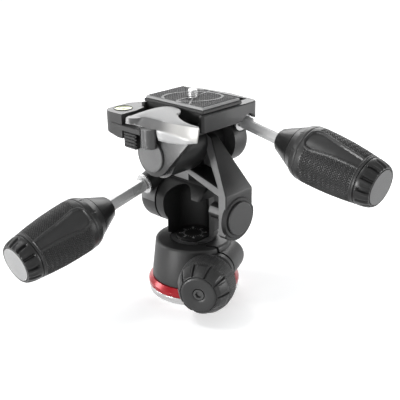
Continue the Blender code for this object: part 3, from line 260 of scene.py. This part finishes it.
# Turns (radius, height) points round the local Z,
# then lets carve(angle, height, radius) give each point a new radius.
def spun(name, profile, place, look, steps, carve=None, ring=False, smoothAngle=32):
    bm = bmesh.new()
    points = [bm.verts.new((radius, 0, height)) for radius, height in profile]
    edges = [bm.edges.new(pair) for pair in zip(points, points[1:])]
    if ring:
        edges.append(bm.edges.new((points[-1], points[0])))
    bmesh.ops.spin(
        bm, geom=points + edges, axis=(0, 0, 1), cent=(0, 0, 0), angle=math.tau, steps=steps, use_merge=True,
    )
    bmesh.ops.remove_doubles(bm, verts=bm.verts, dist=mergeReach)
    if carve:
        for vert in bm.verts:
            radius = math.hypot(vert.co.x, vert.co.y)
            if radius < onAxis:
                continue
            wanted = carve(math.atan2(vert.co.y, vert.co.x), vert.co.z, radius)
            vert.co.x *= wanted / radius
            vert.co.y *= wanted / radius
    return pieceFrom(name, bm, place, look, smoothAngle)


def between(value, table):
    if value <= table[0][0]:
        return table[0][1]
    for (x0, y0), (x1, y1) in zip(table, table[1:]):
        if value <= x1:
            return y0 + (y1 - y0) * (value - x0) / (x1 - x0)
    return table[-1][1]


def ease(value):
    value = min(1.0, max(0.0, value))
    return value * value * (3 - 2 * value)


def spread(low, high, count):
    return [low + (high - low) * i / count for i in range(count + 1)]


def wrap(angle):
    return (angle + math.pi) % math.tau - math.pi


diamondSlope = 1.45


# Crossed spiral cuts that leave a field of small blunt pyramids, as a height from 0 to 1.
def diamonds(angle, height, around, pitch):
    turns = angle / math.tau * around
    along = height / pitch
    first = abs((turns + along) % 1 * 2 - 1)
    second = abs((turns - along) % 1 * 2 - 1)
    return min(1.0, diamondSlope * (1 - max(first, second)))


grip = {
    "outline": [
        (44.3, 13.0), (46.5, 14.2), (49.2, 15.9), (52, 16.75), (56, 17.05), (60, 17.1), (66, 16.95),
        (75, 16.5), (84, 15.6), (92.5, 14.4),
    ],
    "bore": 9.1, "start": 44.3, "end": 92.5, "steps": 348, "rows": 150, "boreSkin": 0.5, "endSkin": 0.05,
    "around": 58, "pitch": 1.75, "cut": 0.55,
    "knurlStart": 57.2, "knurlEnd": 90.6, "fade": 0.7, "smoothBelow": 55.7,
    "panel": [(53.8, 2.6), (56.5, 6.2), (60.5, 7.0), (66, 6.0), (74, 4.6), (90.4, 3.1)],
    "panelStart": 54.6, "panelEnd": 90.4, "panelDepth": 1.25, "panelWall": 0.8, "panelRadius": 16,
    "lip": 0.28, "lipWidth": 0.9, "panelClear": 0.9,
    "ticks": 9, "tickHalf": 0.28, "tickStart": 48.4, "tickEnd": 51.6, "tickDepth": 0.3,
    "seams": [(53.4, 0.28, 0.35), (91.3, 0.25, 0.3)],
}


def gripSurface(facing):
    panelTurns = (math.radians(facing), math.radians(facing + 180))

    def carve(angle, height, radius):
        along = height / mm
        onOutside = radius >= (grip["bore"] + grip["boreSkin"]) * mm
        if not onOutside or not grip["start"] + grip["endSkin"] < along < grip["end"] - grip["endSkin"]:
            return radius
        inside = -math.inf
        for turn in panelTurns:
            across = abs(wrap(angle - turn)) * radius / mm
            lengthwise = min(along - grip["panelStart"], grip["panelEnd"] - along)
            inside = max(inside, min(between(along, grip["panel"]) - across, lengthwise))
        change = -grip["panelDepth"] * ease(inside / grip["panelWall"])
        if -grip["lipWidth"] < inside <= 0:
            change += grip["lip"] * math.sin(math.pi * -inside / grip["lipWidth"])
        rest = min(along - grip["knurlStart"], grip["knurlEnd"] - along, -grip["panelClear"] - inside)
        field = ease(rest / grip["fade"])
        change -= field * grip["cut"] * (1 - diamonds(angle, along, grip["around"], grip["pitch"]))
        for place, half, depth in grip["seams"]:
            change -= depth * ease(1 - abs(along - place) / half) if inside < 0 else 0
        if grip["tickStart"] < along < grip["tickEnd"]:
            tick = abs(wrap(angle * grip["ticks"])) / grip["ticks"] * radius / mm
            change -= grip["tickDepth"] * ease(2 - tick / grip["tickHalf"])
        return radius + change * mm

    return carve


endRing = {
    "profile": [
        (0, 100.5), (10.95, 100.5), (10.95, 101.45), (11.25, 101.62), (11.8, 101.55), (12.3, 101.1),
        (12.8, 100.2), (13.2, 99.2), (13.5, 98.2), (13.75, 97.2), (13.95, 96.2), (14.1, 95.2), (14.25, 94.3),
        (14.3, 93.4), (14.15, 92.85), (0, 92.85),
    ],
    "steps": 240, "notches": 12, "half": 0.75, "low": 94.8, "high": 101.4, "depth": 1.5, "skin": 11.4, "sharp": 1.6,
    "stepHalf": 2.2, "stepDepth": 0.35, "stepLow": 96.6, "stepFade": 0.5,
}


def endCarve(angle, height, radius):
    along = height / mm
    if radius < endRing["skin"] * mm or not endRing["low"] < along < endRing["high"]:
        return radius
    across = abs(wrap(angle * endRing["notches"])) / endRing["notches"] * radius / mm
    change = endRing["depth"] * ease(endRing["sharp"] - across / endRing["half"])
    if along > endRing["stepLow"]:
        change = max(change, endRing["stepDepth"] * ease((across - endRing["stepHalf"]) / endRing["stepFade"]))
    return radius - change * mm


handles = {
    "tilt": {
        "point": (-26.3, -18.0, 70.1),
        "way": (0, -math.cos(math.radians(12)), -math.sin(math.radians(12))),
        "facing": 43, "body": "tilt_grip",
    },
    "roll": {
        "point": (20.3, 25.5, 111.7),
        "way": (math.cos(math.radians(10.8)), 0, -math.sin(math.radians(10.8))),
        "facing": 122, "body": "roll_grip",
    },
}
gripRows = [(between(along, grip["outline"]), along) for along in spread(grip["start"], grip["end"], grip["rows"])]
gripProfile = inMetres([(grip["bore"], grip["start"]), *gripRows, (grip["bore"], grip["end"])])
for side, handle in handles.items():
    place = axisFrame([v * mm for v in handle["point"]], handle["way"])
    sleeve = spun(
        side + "GripSleeve", gripProfile, place, rubberBlack, grip["steps"], gripSurface(handle["facing"]),
        ring=True, smoothAngle=40,
    )
    sleeve.data.materials.append(panelBlack)
    inverse = place.inverted()
    turns = (math.radians(handle["facing"]), math.radians(handle["facing"] + 180))
    for face in sleeve.data.polygons:
        spot = inverse @ face.center
        angle = math.atan2(spot.y, spot.x)
        along = spot.z / mm
        across = min(abs(wrap(angle - turn)) for turn in turns) * grip["panelRadius"]
        inPanel = across < between(along, grip["panel"]) and grip["panelStart"] < along < grip["panelEnd"]
        if inPanel or along < grip["smoothBelow"]:
            face.material_index = 1
    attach(sleeve, handle["body"])
    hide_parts(side + "_handle_grip")
    cap = spun(
        side + "GripEnd", inMetres(endRing["profile"]), place, smoothBlack, endRing["steps"], endCarve,
        smoothAngle=40,
    )
    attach(cap, handle["body"])
    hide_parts(side + "_handle_end")
print("grips made")

lock = {"turn": math.radians(24.2), "offset": 21.7, "height": 22}
lockSide = Vector((math.cos(lock["turn"]), math.sin(lock["turn"]), 0))
lockPlace = axisFrame(
    (lockSide.x * lock["offset"] * mm, lockSide.y * lock["offset"] * mm, lock["height"] * mm),
    (lockSide.y, -lockSide.x, 0),
)
knob = {
    "outline": [
        (26.5, 13.2), (27.2, 13.9), (28.6, 15.6), (30, 17.0), (31.2, 17.4), (34, 17.5), (38.5, 17.45),
        (40.5, 17.15), (42.5, 16.5), (44.5, 15.7), (47, 14.5), (49.6, 13.1), (50.5, 12.5), (50.9, 12.1),
    ],
    "low": 26.5, "high": 50.9, "top": 51, "rim": 11.8, "rows": 84, "steps": 384,
    "bore": 4.0, "seat": 11.5, "seatDepth": 1.6, "skin": 11.9, "skinLow": 26.6,
    "around": 72, "pitch": 1.5, "cut": 0.38, "knurlLow": 29.2, "knurlHigh": 43.0, "knurlFade": 0.7,
    "panels": 10, "slitHalf": 0.5, "slitDepth": 1.2, "slitLow": 41.4, "slitSharp": 1.5, "slitFade": 0.8,
    "plateHalf": 3.1, "plateLow": 43.6, "plateHigh": 49.8, "plateRise": 0.28, "plateFade": 0.5,
}


def knobCarve(angle, height, radius):
    along = height / mm
    if radius < knob["skin"] * mm or along < knob["skinLow"]:
        return radius
    change = 0.0
    field = ease(min(along - knob["knurlLow"], knob["knurlHigh"] - along) / knob["knurlFade"])
    change -= field * knob["cut"] * (1 - diamonds(angle, along, knob["around"], knob["pitch"]))
    share = wrap(angle * knob["panels"]) / knob["panels"]
    across = abs(share) * radius / mm
    if along > knob["slitLow"]:
        slit = ease(knob["slitSharp"] - across / knob["slitHalf"])
        change -= knob["slitDepth"] * slit * ease((along - knob["slitLow"]) / knob["slitFade"])
        middle = (math.pi / knob["panels"] - abs(share)) * radius / mm
        rise = min(knob["plateHalf"] - middle, along - knob["plateLow"], knob["plateHigh"] - along)
        change += knob["plateRise"] * ease(rise / knob["plateFade"])
    return radius + change * mm


knobHeights = spread(knob["low"], knob["high"], knob["rows"])
knobRows = [(between(height, knob["outline"]), height) for height in knobHeights]
seatFloor = knob["top"] - knob["seatDepth"]
knobProfile = inMetres([
    (knob["bore"], knob["low"]), *knobRows, (knob["rim"], knob["top"]), (knob["seat"], knob["high"]),
    (knob["seat"], seatFloor), (knob["bore"], seatFloor),
])
panKnob = spun(
    "panKnob", knobProfile, lockPlace, rubberBlack, knob["steps"], knobCarve, ring=True, smoothAngle=40,
)
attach(panKnob, "pan_knob")
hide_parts("pan_knob")

knobFace = {
    "profile": [
        (3.6, 49.6), (3.6, 50.5), (3.9, 50.85), (4.6, 51.1), (6, 51.3), (8, 51.5), (9.6, 51.65), (10.5, 51.6),
        (11.05, 51.25), (11.3, 50.7), (11.35, 49.6),
    ],
    "steps": 96,
}
facePiece = spun(
    "knobFace", inMetres(knobFace["profile"]), lockPlace, panelBlack, knobFace["steps"], ring=True, smoothAngle=45,
)
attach(facePiece, "pan_knob")
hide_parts("pan_knob_disc")
print("knob made")

# The rubber pad: slanting ribs, a plain oval band, and three bars that point at the screw.
pad = {
    "low": (-25.0, -14.0), "high": (23.5, 18.3), "base": 126.7, "top": 129.0, "columns": 330, "rows": 220,
    "ribPitch": 1.12, "ribDepth": 0.55, "ribDrop": 0.05, "ribSharp": 1.6, "ribFlat": 0.4,
    "centre": (1.0, 0.6), "slant": math.radians(43.8), "oval": (18.2, 12.0), "band": 0.055, "barHalf": 0.6,
    "hole": 3.9, "holeDepth": 1.4, "rim": 1.3, "rimDrop": 0.75,
    "bars": [((0.6, -12.4), (0.3, -3.4)), ((11.4, -12.4), (4.2, -2.6)), ((0.4, 9.4), (-0.2, 16.4))],
}


# Gives the height at a point, and whether it belongs to the light, unribbed part.
def padHeight(x, y):
    edge = min(x - pad["low"][0], pad["high"][0] - x, y - pad["low"][1], pad["high"][1] - y)
    if edge < pad["rim"]:
        return pad["top"] - pad["rimDrop"], True
    dx, dy = x - pad["centre"][0], y - pad["centre"][1]
    along = dx * math.cos(pad["slant"]) + dy * math.sin(pad["slant"])
    across = dy * math.cos(pad["slant"]) - dx * math.sin(pad["slant"])
    plain = abs(math.hypot(along / pad["oval"][0], across / pad["oval"][1]) - 1) < pad["band"]
    for start, end in pad["bars"]:
        a, b = Vector(start), Vector(end)
        share = max(0.0, min(1.0, (Vector((x, y)) - a).dot(b - a) / (b - a).length_squared))
        plain = plain or (Vector((x, y)) - a - (b - a) * share).length < pad["barHalf"]
    if math.hypot(dx, dy) < pad["hole"]:
        return pad["top"] - pad["holeDepth"], False
    if plain:
        return pad["top"], True
    wave = abs((along / pad["ribPitch"]) % 1 * 2 - 1)
    return pad["top"] - pad["ribDepth"] * ease(wave * pad["ribSharp"] - pad["ribFlat"]) - pad["ribDrop"], False


bm = bmesh.new()
bmesh.ops.create_grid(bm, x_segments=pad["columns"], y_segments=pad["rows"], size=0.5)
spanX, spanY = pad["high"][0] - pad["low"][0], pad["high"][1] - pad["low"][1]
bandVerts = set()
for vert in bm.verts:
    x = pad["low"][0] + (vert.co.x + 0.5) * spanX
    y = pad["low"][1] + (vert.co.y + 0.5) * spanY
    height, plain = padHeight(x, y)
    vert.co = (x * mm, y * mm, height * mm)
    if plain:
        bandVerts.add(vert)
for face in bm.faces:
    face.material_index = 1 if all(vert in bandVerts for vert in face.verts) else 0
rim = [edge for edge in bm.edges if edge.is_boundary]
skirt = bmesh.ops.extrude_edge_only(bm, edges=rim)
lower = [item for item in skirt["geom"] if isinstance(item, bmesh.types.BMVert)]
for vert in lower:
    vert.co.z = pad["base"] * mm
bmesh.ops.contextual_create(bm, geom=[edge for edge in bm.edges if edge.is_boundary])
platePad = pieceFrom("platePad", bm, None, padGrey, 30)
platePad.data.materials.append(padLight)
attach(platePad, "quick_plate")
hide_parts("plate_pad")

# The quarter inch camera screw, with its thread cut by a turning wave.
screw = {
    "centre": (1.0, 0.6), "head": [(0, 122.95), (6.0, 122.95), (6.0, 124.3), (3.1, 124.3)],
    "shank": (124.6, 132.9), "tip": [(2.6, 133.4), (0, 133.45)], "radius": 3.1, "rows": 44, "steps": 48,
    "threadLow": 127.2, "threadHigh": 133.2, "pitch": 1.27, "cut": 0.5, "skin": 2.4, "sharp": 1.3, "flat": 0.15,
}


def screwCarve(angle, height, radius):
    along = height / mm
    if not screw["threadLow"] < along < screw["threadHigh"] or radius < screw["skin"] * mm:
        return radius
    wave = abs((along / screw["pitch"] - angle / math.tau) % 1 * 2 - 1)
    return radius - screw["cut"] * mm * ease(wave * screw["sharp"] - screw["flat"])


threadRows = [(screw["radius"], height) for height in spread(*screw["shank"], screw["rows"])]
screwPlace = Matrix.Translation((screw["centre"][0] * mm, screw["centre"][1] * mm, 0))
cameraScrew = spun(
    "cameraScrew", inMetres(screw["head"] + threadRows + screw["tip"]), screwPlace, turnedSilver,
    screw["steps"], screwCarve, smoothAngle=50,
)
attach(cameraScrew, "camera_screw")
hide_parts("camera_screw")
print("pad and camera screw made")

# Eight plain numbers and a ring of ticks on the dial in the pocket.
dial = {
    "top": 37.86, "rise": 0.08, "numbers": 8, "firstNumber": 3, "firstAngle": -45, "numberRadius": 8.1,
    "numberSize": 3.1, "ticks": 24, "tickRadius": 6.1, "tick": (0.9, 0.28), "longEvery": 3, "longTick": 1.5,
}
markMiddle = (dial["top"] + dial["rise"] / 2) * mm
marks = bmesh.new()
for i in range(dial["ticks"]):
    turn = Matrix.Rotation(math.tau * i / dial["ticks"], 4, "Z")
    stretch = dial["longTick"] if i % dial["longEvery"] == 0 else 1.0
    size = Matrix.Diagonal((dial["tick"][0] * stretch * mm, dial["tick"][1] * mm, dial["rise"] * mm, 1))
    spot = Matrix.Translation((dial["tickRadius"] * mm, 0, markMiddle))
    bmesh.ops.create_cube(marks, size=1.0, matrix=turn @ spot @ size)
for i in range(dial["numbers"]):
    text = bpy.data.curves.new("number", "FONT")
    text.body = str((dial["firstNumber"] + i) % dial["numbers"] + 1)
    text.size = dial["numberSize"] * mm
    text.extrude = dial["rise"] / 2 * mm
    text.align_x = "CENTER"
    text.align_y = "CENTER"
    holder = linkNew("number", text)
    bpy.context.view_layer.update()
    shape = bpy.data.meshes.new_from_object(holder.evaluated_get(bpy.context.evaluated_depsgraph_get()))
    angle = math.tau * i / dial["numbers"] + math.radians(dial["firstAngle"])
    outward = dial["numberRadius"] * mm
    shape.transform(Matrix.Rotation(angle + math.pi / 2, 4, "Z"))
    shape.transform(Matrix.Translation((outward * math.cos(angle), outward * math.sin(angle), markMiddle)))
    marks.from_mesh(shape)
    bpy.data.objects.remove(holder)
    bpy.data.meshes.remove(shape)
    bpy.data.curves.remove(text)
bmesh.ops.remove_doubles(marks, verts=marks.verts, dist=mergeReach * 2)
dialMarks = pieceFrom("dialMarks", marks, None, markWhite)
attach(dialMarks, "base")

# The clamp lever: a thumb tab, a round tongue over the plate's front, and a blade whose bevel twists to
# the right. Its three curves run from left to right, as (x, y), and the heights follow their share.
lever = {
    "back": [
        (-16.2, -35.5), (-14.6, -31.4), (-12.5, -27.2), (-9.3, -22.1), (-4.7, -17.7), (-0.4, -16.2), (4.6, -16.4),
        (8.5, -17.6), (10.9, -19.9), (12.2, -23.0), (16.0, -25.6), (21.5, -27.5), (27.5, -28.6), (34.6, -28.9),
    ],
    "crease": [
        (-14.2, -40.4), (-11.6, -39.4), (-9.2, -36.6), (-7.4, -33.6), (-3.6, -32.5), (1.0, -32.4), (5.6, -32.4),
        (10.0, -32.5), (14.0, -32.4), (18.0, -32.2), (22.5, -31.8), (26.5, -31.3), (31.0, -30.8), (35.6, -30.2),
    ],
    "lower": [
        (-14.2, -40.9), (-11.6, -39.9), (-9.6, -38.4), (-6.6, -37.4), (-2.4, -36.9), (2.4, -36.9), (7.0, -36.2),
        (11.5, -35.3), (15.8, -34.8), (20.0, -34.5), (24.5, -34.1), (28.3, -33.4), (31.8, -32.2), (34.8, -30.9),
    ],
    "lowerHeight": [(0.0, 118.4), (0.25, 117.3), (0.4, 117.3), (0.6, 116.5), (0.8, 115.2), (1.0, 113.6)],
    "skirtHeight": [
        (0.0, 118.0), (0.25, 117.0), (0.46, 116.9), (0.485, 110.7), (0.62, 110.6), (0.78, 111.4), (0.9, 112.6),
        (1.0, 113.4),
    ],
    "columns": 130, "topRows": 10, "bevelRows": 6, "skirtRows": 4, "frontTop": 121.2, "flatFrom": -34.5,
    "slope": math.tan(math.radians(14)), "crown": 0.3, "thick": 1.1, "softEdge": 0.35, "softAngle": 40,
    # painted light on the bevel: where along X it turns bright, and to what colour
    "paintedLightFrom": 6, "paintedLightTo": 22, "paintedLightColour": (0.3, 0.296, 0.287),
}


# A smooth curve through the points, at a share of its way.
def pointAlong(points, share):
    place = share * (len(points) - 1)
    index = min(int(place), len(points) - 2)
    part = place - index
    p0 = Vector(points[max(index - 1, 0)])
    p1, p2 = Vector(points[index]), Vector(points[index + 1])
    p3 = Vector(points[min(index + 2, len(points) - 1)])
    square = (2 * p0 - 5 * p1 + 4 * p2 - p3) * part ** 2
    cube = (3 * p1 - p0 - 3 * p2 + p3) * part ** 3
    return 0.5 * ((2 * p1) + (p2 - p0) * part + square + cube)


def leverTop(y):
    return lever["frontTop"] + max(0.0, y - lever["flatFrom"]) * lever["slope"]


# Painted shade and light: the bevel starts dark at the left and turns bright along X, standing in for the
# reflection that the metal catches.
def paintLightAlongX(material, start, end, colour):
    tree = material.node_tree
    coords = addNode(tree, "ShaderNodeTexCoord")
    split = addNode(tree, "ShaderNodeSeparateXYZ")
    tree.links.new(coords.outputs["Object"], split.inputs["Vector"])
    along = addNode(
        tree, "ShaderNodeMapRange", {"From Min": start * mm, "From Max": end * mm}, interpolation_type="SMOOTHSTEP",
    )
    tree.links.new(split.outputs["X"], along.inputs["Value"])
    fade = addNode(tree, "ShaderNodeMix", data_type="RGBA")
    baseColour = tree.nodes["Principled BSDF"].inputs["Base Color"]
    tree.links.new(along.outputs["Result"], fade.inputs["Factor"])
    tree.links.new(baseColour.links[0].from_socket, fade.inputs["A"])
    fade.inputs["B"].default_value = (*colour, 1)
    tree.links.new(fade.outputs["Result"], baseColour)


bevelTo = lever["topRows"] + lever["bevelRows"]
rows = bevelTo + lever["skirtRows"]
bm = bmesh.new()
bmesh.ops.create_grid(bm, x_segments=lever["columns"], y_segments=rows, size=0.5)
for face in bm.faces:
    middle = (0.5 - face.calc_center_median().y) * rows
    face.material_index = 1 if lever["topRows"] < middle < bevelTo else 0
for vert in bm.verts:
    share = vert.co.x + 0.5
    row = round((0.5 - vert.co.y) * rows)
    back, crease, lower = (pointAlong(lever[key], share) for key in ("back", "crease", "lower"))
    lowerHeight, skirtHeight = between(share, lever["lowerHeight"]), between(share, lever["skirtHeight"])
    if row <= lever["topRows"]:
        across = row / lever["topRows"]
        spot = back.lerp(crease, across)
        height = leverTop(spot.y) + lever["crown"] * math.sin(math.pi * across)
    elif row <= bevelTo:
        across = (row - lever["topRows"]) / lever["bevelRows"]
        spot = crease.lerp(lower, across)
        height = leverTop(crease.y) * (1 - across) + lowerHeight * across
    else:
        across = (row - bevelTo) / lever["skirtRows"]
        spot = lower
        height = lowerHeight * (1 - across) + skirtHeight * across
    vert.co = (spot.x * mm, spot.y * mm, height * mm)
# A darker copy of the lever's satin alloy: painted shade on the bevel, turned to a painted highlight towards the
# right.
bevelPaintedShade = finish("bevelPaintedShade", {
    "dark": (0.085, 0.081, 0.073), "light": (0.12, 0.115, 0.105), "rough": (0.36, 0.46), "metallic": 0.2,
    "bump": 0.2, "grain": 2600, "speck": 0.14, "specular": 0.35,
})
clampLever = pieceFrom("clampLever", bm, None, satinAlloy, 40)
clampLever.data.materials.append(bevelPaintedShade)
paintLightAlongX(bevelPaintedShade, lever["paintedLightFrom"], lever["paintedLightTo"], lever["paintedLightColour"])
shell = clampLever.modifiers.new("shell", "SOLIDIFY")
shell.thickness = lever["thick"] * mm
shell.offset = -1
soft = clampLever.modifiers.new("soft", "BEVEL")
soft.width = lever["softEdge"] * mm
soft.segments = 2
soft.limit_method = "ANGLE"
soft.angle_limit = math.radians(lever["softAngle"])
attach(clampLever, "clamp_lever")
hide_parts("clamp_lever")

# The half round boss below the lever, over its pivot.
boss = {"centre": (1.7, -36.2), "radius": 5.4, "low": 105.3, "high": 117.2, "edge": 0.6, "steps": 32}
bossProfile = [
    (0, boss["low"]), (boss["radius"] - boss["edge"], boss["low"]), (boss["radius"], boss["low"] + boss["edge"]),
    (boss["radius"], boss["high"]), (0, boss["high"]),
]
bm = bmesh.new()
points = [bm.verts.new((radius, 0, height)) for radius, height in inMetres(bossProfile)]
edges = [bm.edges.new(pair) for pair in zip(points, points[1:])]
bmesh.ops.spin(bm, geom=points + edges, axis=(0, 0, 1), cent=(0, 0, 0), angle=-math.pi, steps=boss["steps"])
bmesh.ops.remove_doubles(bm, verts=bm.verts, dist=mergeReach)
bmesh.ops.contextual_create(bm, geom=[edge for edge in bm.edges if edge.is_boundary])
bossPlace = Matrix.Translation((boss["centre"][0] * mm, boss["centre"][1] * mm, 0))
pivotBoss = pieceFrom("pivotBoss", bm, bossPlace, darkChrome)
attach(pivotBoss, "roll_bracket")
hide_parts("lever_pin")
print("lever made")

# The bubble level: a dark ring, tinted liquid under a lens, and the bubble's own ring.
level = {"centre": (-28.5, -30.0), "top": 122.5, "steps": 64}
vialGlass = finish("vialGlass", {
    "dark": (0.36, 0.43, 0.05), "light": (0.46, 0.52, 0.1), "rough": (0.08, 0.14), "saturation": 1.0,
    "speck": 0.05, "bump": 0.02, "coat": 0.5, "coatRoughness": 0.03,
})
bubbleWhite = finish("bubbleWhite", {
    "dark": (0.62, 0.66, 0.4), "light": (0.72, 0.76, 0.5), "rough": (0.08, 0.14), "saturation": 1.0,
    "speck": 0.05, "bump": 0.02, "coat": 0.5, "coatRoughness": 0.03,
})
levelPlace = Matrix.Translation((level["centre"][0] * mm, level["centre"][1] * mm, level["top"] * mm))
levelPieces = {
    "levelLiquid": (
        [(0, -3.8), (5.4, -3.8), (5.4, 0.1), (4.6, 0.28), (3.0, 0.4), (0, 0.46)], vialGlass, "vial_green", False,
    ),
    "levelRing": (
        [(5.42, -3.8), (5.72, -3.8), (5.72, 0.3), (5.6, 0.4), (5.48, 0.4), (5.42, 0.3)], smoothBlack,
        "black_plastic", True,
    ),
    "levelBubble": ([(0, 0.3), (1.7, 0.3), (1.6, 0.52), (1.1, 0.62), (0, 0.66)], bubbleWhite, "vial_green", False),
    "levelMark": ([(2.3, 0.3), (2.6, 0.3), (2.6, 0.49), (2.3, 0.5)], smoothBlack, "black_plastic", True),
}
for name, (profile, look, slotName, closed) in levelPieces.items():
    made = spun(name, inMetres(profile), levelPlace, look, level["steps"], ring=closed)
    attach(made, "roll_bracket")
    if name == "levelLiquid":
        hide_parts("level_vial")
print("level made")

# Studio: a pale floor, a white surround, low lights at the front left and the right, and soft ones above.
studio = {
    "floorHalf": 4, "floorDrop": 0.2, "glowNear": 0.3, "glowFar": 0.6, "nearAt": 0.1, "farAt": 0.7,
    "seenStrength": 1.0, "worldStrength": 0.42, "worldColour": (0.96, 0.98, 1.0, 1), "aimHeight": 0.08,
}
floorMesh = bpy.data.meshes.new("floor")
bm = bmesh.new()
bmesh.ops.create_grid(bm, x_segments=1, y_segments=1, size=studio["floorHalf"])
bm.to_mesh(floorMesh)
bm.free()
floor = linkNew("floor", floorMesh)
floor.location.z = -studio["floorDrop"] * mm
floorLook = finish("floorLook", {
    "dark": (0.9, 0.9, 0.9), "light": (0.93, 0.93, 0.93), "rough": (0.8, 0.9), "bump": 0.0, "speck": 0.0,
    "grain": 50, "cloud": 3,
})
floorMesh.materials.append(floorLook)

lights = {
    "keyFront": {"at": (-0.2, -0.8, 0.1), "wide": 0.12, "tall": 0.18, "power": 6.5},
    "leftLow": {"at": (-0.75, -0.5, 0.3), "wide": 0.25, "tall": 0.35, "power": 3.4},
    "rightLow": {"at": (0.7, 0.55, 0.2), "wide": 0.25, "tall": 0.3, "power": 4.2},
    "topBack": {"at": (-0.5, 0.62, 0.55), "wide": 0.8, "tall": 0.5, "power": 4.6},
    "topFront": {"at": (-0.3, -0.35, 0.9), "wide": 0.25, "tall": 0.25, "power": 2.2},
}
for name, light in lights.items():
    lamp = bpy.data.lights.new(name, "AREA")
    lamp.shape = "RECTANGLE"
    lamp.size = light["wide"]
    lamp.size_y = light["tall"]
    lamp.energy = light["power"]
    holder = linkNew(name, lamp)
    place = Vector(light["at"])
    holder.location = place
    holder.visible_camera = False
    holder.rotation_euler = (place - Vector((0, 0, studio["aimHeight"]))).to_track_quat("Z", "Y").to_euler()


# Camera, mirror and glass rays are told apart from the rays that only carry light.
def seenRays(tree):
    rays = addNode(tree, "ShaderNodeLightPath")
    first = addNode(tree, "ShaderNodeMath", operation="MAXIMUM")
    second = addNode(tree, "ShaderNodeMath", operation="MAXIMUM")
    tree.links.new(rays.outputs["Is Camera Ray"], first.inputs[0])
    tree.links.new(rays.outputs["Is Glossy Ray"], first.inputs[1])
    tree.links.new(first.outputs["Value"], second.inputs[0])
    tree.links.new(rays.outputs["Is Transmission Ray"], second.inputs[1])
    return second.outputs["Value"]


# The floor's own white rises with the distance, so that the shadow shows round the base.
floorTree = floorLook.node_tree
glow = addNode(floorTree, "ShaderNodeMath", operation="MULTIPLY")
floorSpot = addNode(floorTree, "ShaderNodeTexCoord")
away = addNode(floorTree, "ShaderNodeVectorMath", operation="LENGTH")
floorTree.links.new(floorSpot.outputs["Object"], away.inputs[0])
lift = addNode(floorTree, "ShaderNodeMapRange", {
    "From Min": studio["nearAt"], "From Max": studio["farAt"],
    "To Min": studio["glowNear"], "To Max": studio["glowFar"],
})
floorTree.links.new(away.outputs["Value"], lift.inputs["Value"])
floorTree.links.new(lift.outputs["Result"], glow.inputs[1])
floorTree.links.new(seenRays(floorTree), glow.inputs[0])
floorShader = floorTree.nodes["Principled BSDF"]
floorShader.inputs["Emission Color"].default_value = (1, 1, 1, 1)
floorTree.links.new(glow.outputs["Value"], floorShader.inputs["Emission Strength"])

world = bpy.data.worlds.new("studio")
bpy.context.scene.world = world
world.use_nodes = True
tree = world.node_tree
seen = tree.nodes["Background"]
seen.inputs["Color"].default_value = (1, 1, 1, 1)
seen.inputs["Strength"].default_value = studio["seenStrength"]
around = addNode(tree, "ShaderNodeBackground", {
    "Color": studio["worldColour"], "Strength": studio["worldStrength"],
})
choice = addNode(tree, "ShaderNodeMixShader")
tree.links.new(seenRays(tree), choice.inputs["Fac"])
tree.links.new(around.outputs["Background"], choice.inputs[1])
tree.links.new(seen.outputs["Background"], choice.inputs[2])
tree.links.new(choice.outputs["Shader"], tree.nodes["World Output"].inputs["Surface"])

# The camera stands where the photograph was taken from.
shot = {
    "distance": 455.3, "standAngle": 44.7, "height": 242.8, "azimuth": 44.1, "pitch": 21.8, "roll": -0.8,
    "focal": 762.1, "frame": 400, "sensor": 36, "clip": 0.01,
}
azimuth, pitch, rollTurn = (math.radians(shot[key]) for key in ("azimuth", "pitch", "roll"))
backward = Vector((math.sin(azimuth) * math.cos(pitch), -math.cos(azimuth) * math.cos(pitch), math.sin(pitch)))
sideways = Vector((math.cos(azimuth), math.sin(azimuth), 0))
upright = backward.cross(sideways)
right = sideways * math.cos(rollTurn) + upright * math.sin(rollTurn)
up = upright * math.cos(rollTurn) - sideways * math.sin(rollTurn)
stand = math.radians(shot["standAngle"])
camera = bpy.data.cameras.new("camera")
camera.sensor_width = shot["sensor"]
camera.lens = shot["focal"] / shot["frame"] * camera.sensor_width
camera.clip_start = shot["clip"]
viewer = linkNew("camera", camera)
viewer.matrix_world = Matrix((
    (right.x, up.x, backward.x, shot["distance"] * math.sin(stand) * mm),
    (right.y, up.y, backward.y, -shot["distance"] * math.cos(stand) * mm),
    (right.z, up.z, backward.z, shot["height"] * mm),
    (0, 0, 0, 1),
))
bpy.context.scene.camera = viewer
bpy.context.scene.view_settings.view_transform = "Standard"
print("studio and camera set")
